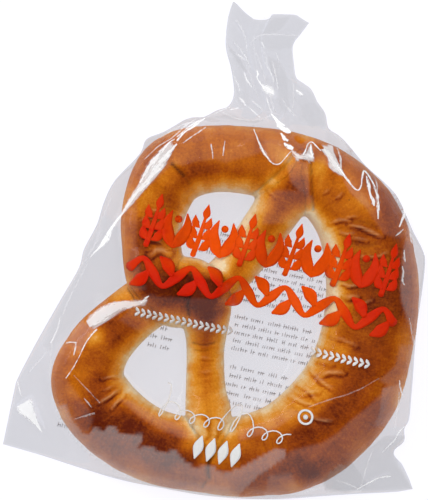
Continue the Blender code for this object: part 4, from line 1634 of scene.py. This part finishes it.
class CrustLook(bpy.types.PropertyGroup):
    cream: colour_property("Cream", "Crust that saw little heat", (0.90, 0.74, 0.47, 1))
    pale_gold: colour_property("Pale gold", "Sides of the holes", (0.83, 0.50, 0.175, 1))
    gold: colour_property("Gold", "Upper sides of the rope", (0.75, 0.285, 0.018, 1))
    brown: colour_property("Brown", "Most of the top", (0.56, 0.145, 0.002, 1))
    dark_brown: colour_property("Dark brown", "High places", (0.33, 0.058, 0.001, 1))
    darkest: colour_property("Darkest", "The top of the knot", (0.12, 0.012, 0.001, 1))
    speck: colour_property("Specks", "Small burnt specks", (0.08, 0.02, 0.008, 1))
    # Painted shade at the bottom of the cracks.
    crack_shade: colour_property("Cracks", "Bottom of the cracks", (0.045, 0.006, 0.002, 1))
    gleam: colour_property("Gleam", "Crests of the puckers in the light", (0.82, 0.50, 0.26, 1))
    egg_wash: number_property("Egg wash", "Gloss of the egg wash", 0.04, min=0, max=1)


class FilmLook(bpy.types.PropertyGroup):
    front_colour: colour_property("Front film", "Tint of the front film", (0.95, 0.93, 0.92, 1))
    back_colour: colour_property("Back film", "Tint of the back film", (0.28, 0.30, 0.36, 1))
    # The crease colour, strength and lift below are for the painted highlights of creased film.
    streak_colour: colour_property("Creases", "Colour of creases in the light", (1.0, 1.0, 1.0, 1))
    front_opacity: number_property(
        "Front opacity", "Share that the front film mirrors", 0.024, min=0, max=1
    )
    back_opacity: number_property("Back opacity", "Share that the back film mirrors", 0.31, min=0, max=1)
    edge_sheen: number_property("Edge sheen", "How much steep film reflects", 0.07, min=0, max=2)
    roughness: number_property("Roughness", "Roughness of the film", 0.08, min=0, max=1)
    crumple: number_property("Crumple", "Height of the loose film's creases", 1.0, min=0)
    evening: bpy.props.IntProperty(
        name="Evening", description="How often the film's steps are smoothed", default=16, min=0
    )
    streak_strength: number_property("Crease strength", "How white the creases are", 1.0, min=0, max=2)
    streak_lift: length_property("Crease lift", "Gap between film and crease", 0.00025, min=0)
    pleats: number_property("Pleats", "Number of pleats in each side of the neck", 3.5, min=1)
    pleat_overlap: number_property("Pleat overlap", "Over 1 folds the film back on itself", 0.8, min=0)
    pleat_depth: number_property(
        "Pleat depth", "Depth of the pleats as a share of the neck", 0.35, min=0, max=1
    )


class PrintLook(bpy.types.PropertyGroup):
    orange: colour_property("Orange", "Ink of the large ornament", (0.80, 0.080, 0.001, 1))
    deep_orange: colour_property("Deep orange", "The same ink over the crust", (0.60, 0.012, 0.0, 1))
    white: colour_property("White", "Ink of the small marks", (0.80, 0.79, 0.78, 1))
    grey: colour_property("Grey", "Ink of the print on the back", (0.40, 0.40, 0.44, 1))
    ink_lift: length_property("Ink lift", "Gap between film and ink", 0.0002, min=0)


class StageLook(bpy.types.PropertyGroup):
    floor: colour_property("Floor", "Colour of the paper", (0.935, 0.935, 1.0, 1))
    floor_glow: number_property("Floor glow", "Light from below the paper", 0.88, min=0)
    floor_share: number_property(
        "Floor share", "How much of the paper's white is lit from above", 0.25, min=0, max=1
    )
    world_strength: number_property("Surround", "Strength of the pale surround", 0.6, min=0)
    key_power: power_property("Key", "Strip light that glints in the film", 1.0)
    side_power: power_property("Side", "Soft light from the upper left", 9.0)
    top_power: power_property("Top", "Soft light overhead", 20.0)
    camera_x: length_property("Camera X", "Camera across the pack", CAMERA_X * MM)
    camera_y: length_property("Camera Y", "Camera along the pack", CAMERA_Y * MM)
    camera_height: length_property("Camera height", "Camera above the table", CAMERA_HEIGHT * MM)
    subject_height: length_property("Subject height", "Height that is framed", SUBJECT_HEIGHT * MM)
    framed_length: length_property("Framed length", "Length seen at that height", FRAMED_LENGTH * MM)
    camera_roll: number_property(
        "Camera roll", "Turn of the pack in the view", CAMERA_ROLL, subtype="ANGLE"
    )


class KringleSettings(bpy.types.PropertyGroup):
    shape: bpy.props.PointerProperty(type=LoafShape)
    crust: bpy.props.PointerProperty(type=CrustLook)
    film: bpy.props.PointerProperty(type=FilmLook)
    ink: bpy.props.PointerProperty(type=PrintLook)
    stage: bpy.props.PointerProperty(type=StageLook)


class KRINGLE_OT_loaf(bpy.types.Operator):
    """Make the knotted loaf"""

    bl_idname = "kringle.make_loaf"
    bl_label = "Make loaf"

    def execute(self, context):
        settings = context.scene.kringle
        make_loaf(settings.shape, settings.crust)
        return {"FINISHED"}


class KRINGLE_OT_film(bpy.types.Operator):
    """Make the clear bag round the loaf. The loaf has to be there"""

    bl_idname = "kringle.make_film"
    bl_label = "Make film"

    def execute(self, context):
        make_film(context.scene.kringle.film, bpy.data.objects["kringle"])
        return {"FINISHED"}


class KRINGLE_OT_print(bpy.types.Operator):
    """Print the ornament on the bag. The film and the loaf have to be there"""

    bl_idname = "kringle.make_print"
    bl_label = "Make print"

    def execute(self, context):
        pieces = bpy.data.objects
        make_print(context.scene.kringle.ink, pieces["bag_film"], pieces["kringle"])
        return {"FINISHED"}


class KRINGLE_OT_stage(bpy.types.Operator):
    """Make the floor, lights and camera"""

    bl_idname = "kringle.make_stage"
    bl_label = "Make stage"

    def execute(self, context):
        make_stage(context.scene.kringle.stage)
        return {"FINISHED"}


class KRINGLE_PT_panel(bpy.types.Panel):
    """Lists the steps and the settings"""

    bl_idname = "KRINGLE_PT_panel"
    bl_label = "Kringle"
    bl_space_type = "VIEW_3D"
    bl_region_type = "UI"
    bl_category = "Kringle"

    def draw(self, context):
        settings = context.scene.kringle
        for operator, groups in (
            (KRINGLE_OT_loaf, (settings.shape, settings.crust)),
            (KRINGLE_OT_film, (settings.film,)),
            (KRINGLE_OT_print, (settings.ink,)),
            (KRINGLE_OT_stage, (settings.stage,)),
        ):
            box = self.layout.box()
            box.operator(operator.bl_idname)
            for group in groups:
                for name in group.__annotations__:
                    box.prop(group, name)


GROUPS = (LoafShape, CrustLook, FilmLook, PrintLook, StageLook, KringleSettings)
OPERATORS = (KRINGLE_OT_loaf, KRINGLE_OT_film, KRINGLE_OT_print, KRINGLE_OT_stage)
CLASSES = (*GROUPS, *OPERATORS, KRINGLE_PT_panel)


def register():
    for item in CLASSES:
        bpy.utils.register_class(item)
    bpy.types.Scene.kringle = bpy.props.PointerProperty(type=KringleSettings)


def unregister():
    del bpy.types.Scene.kringle
    for item in reversed(CLASSES):
        bpy.utils.unregister_class(item)


def main():
    register()
    bpy.ops.kringle.make_stage()
    bpy.ops.kringle.make_loaf()
    bpy.ops.kringle.make_film()
    bpy.ops.kringle.make_print()


if __name__ == "__main__":
    main()
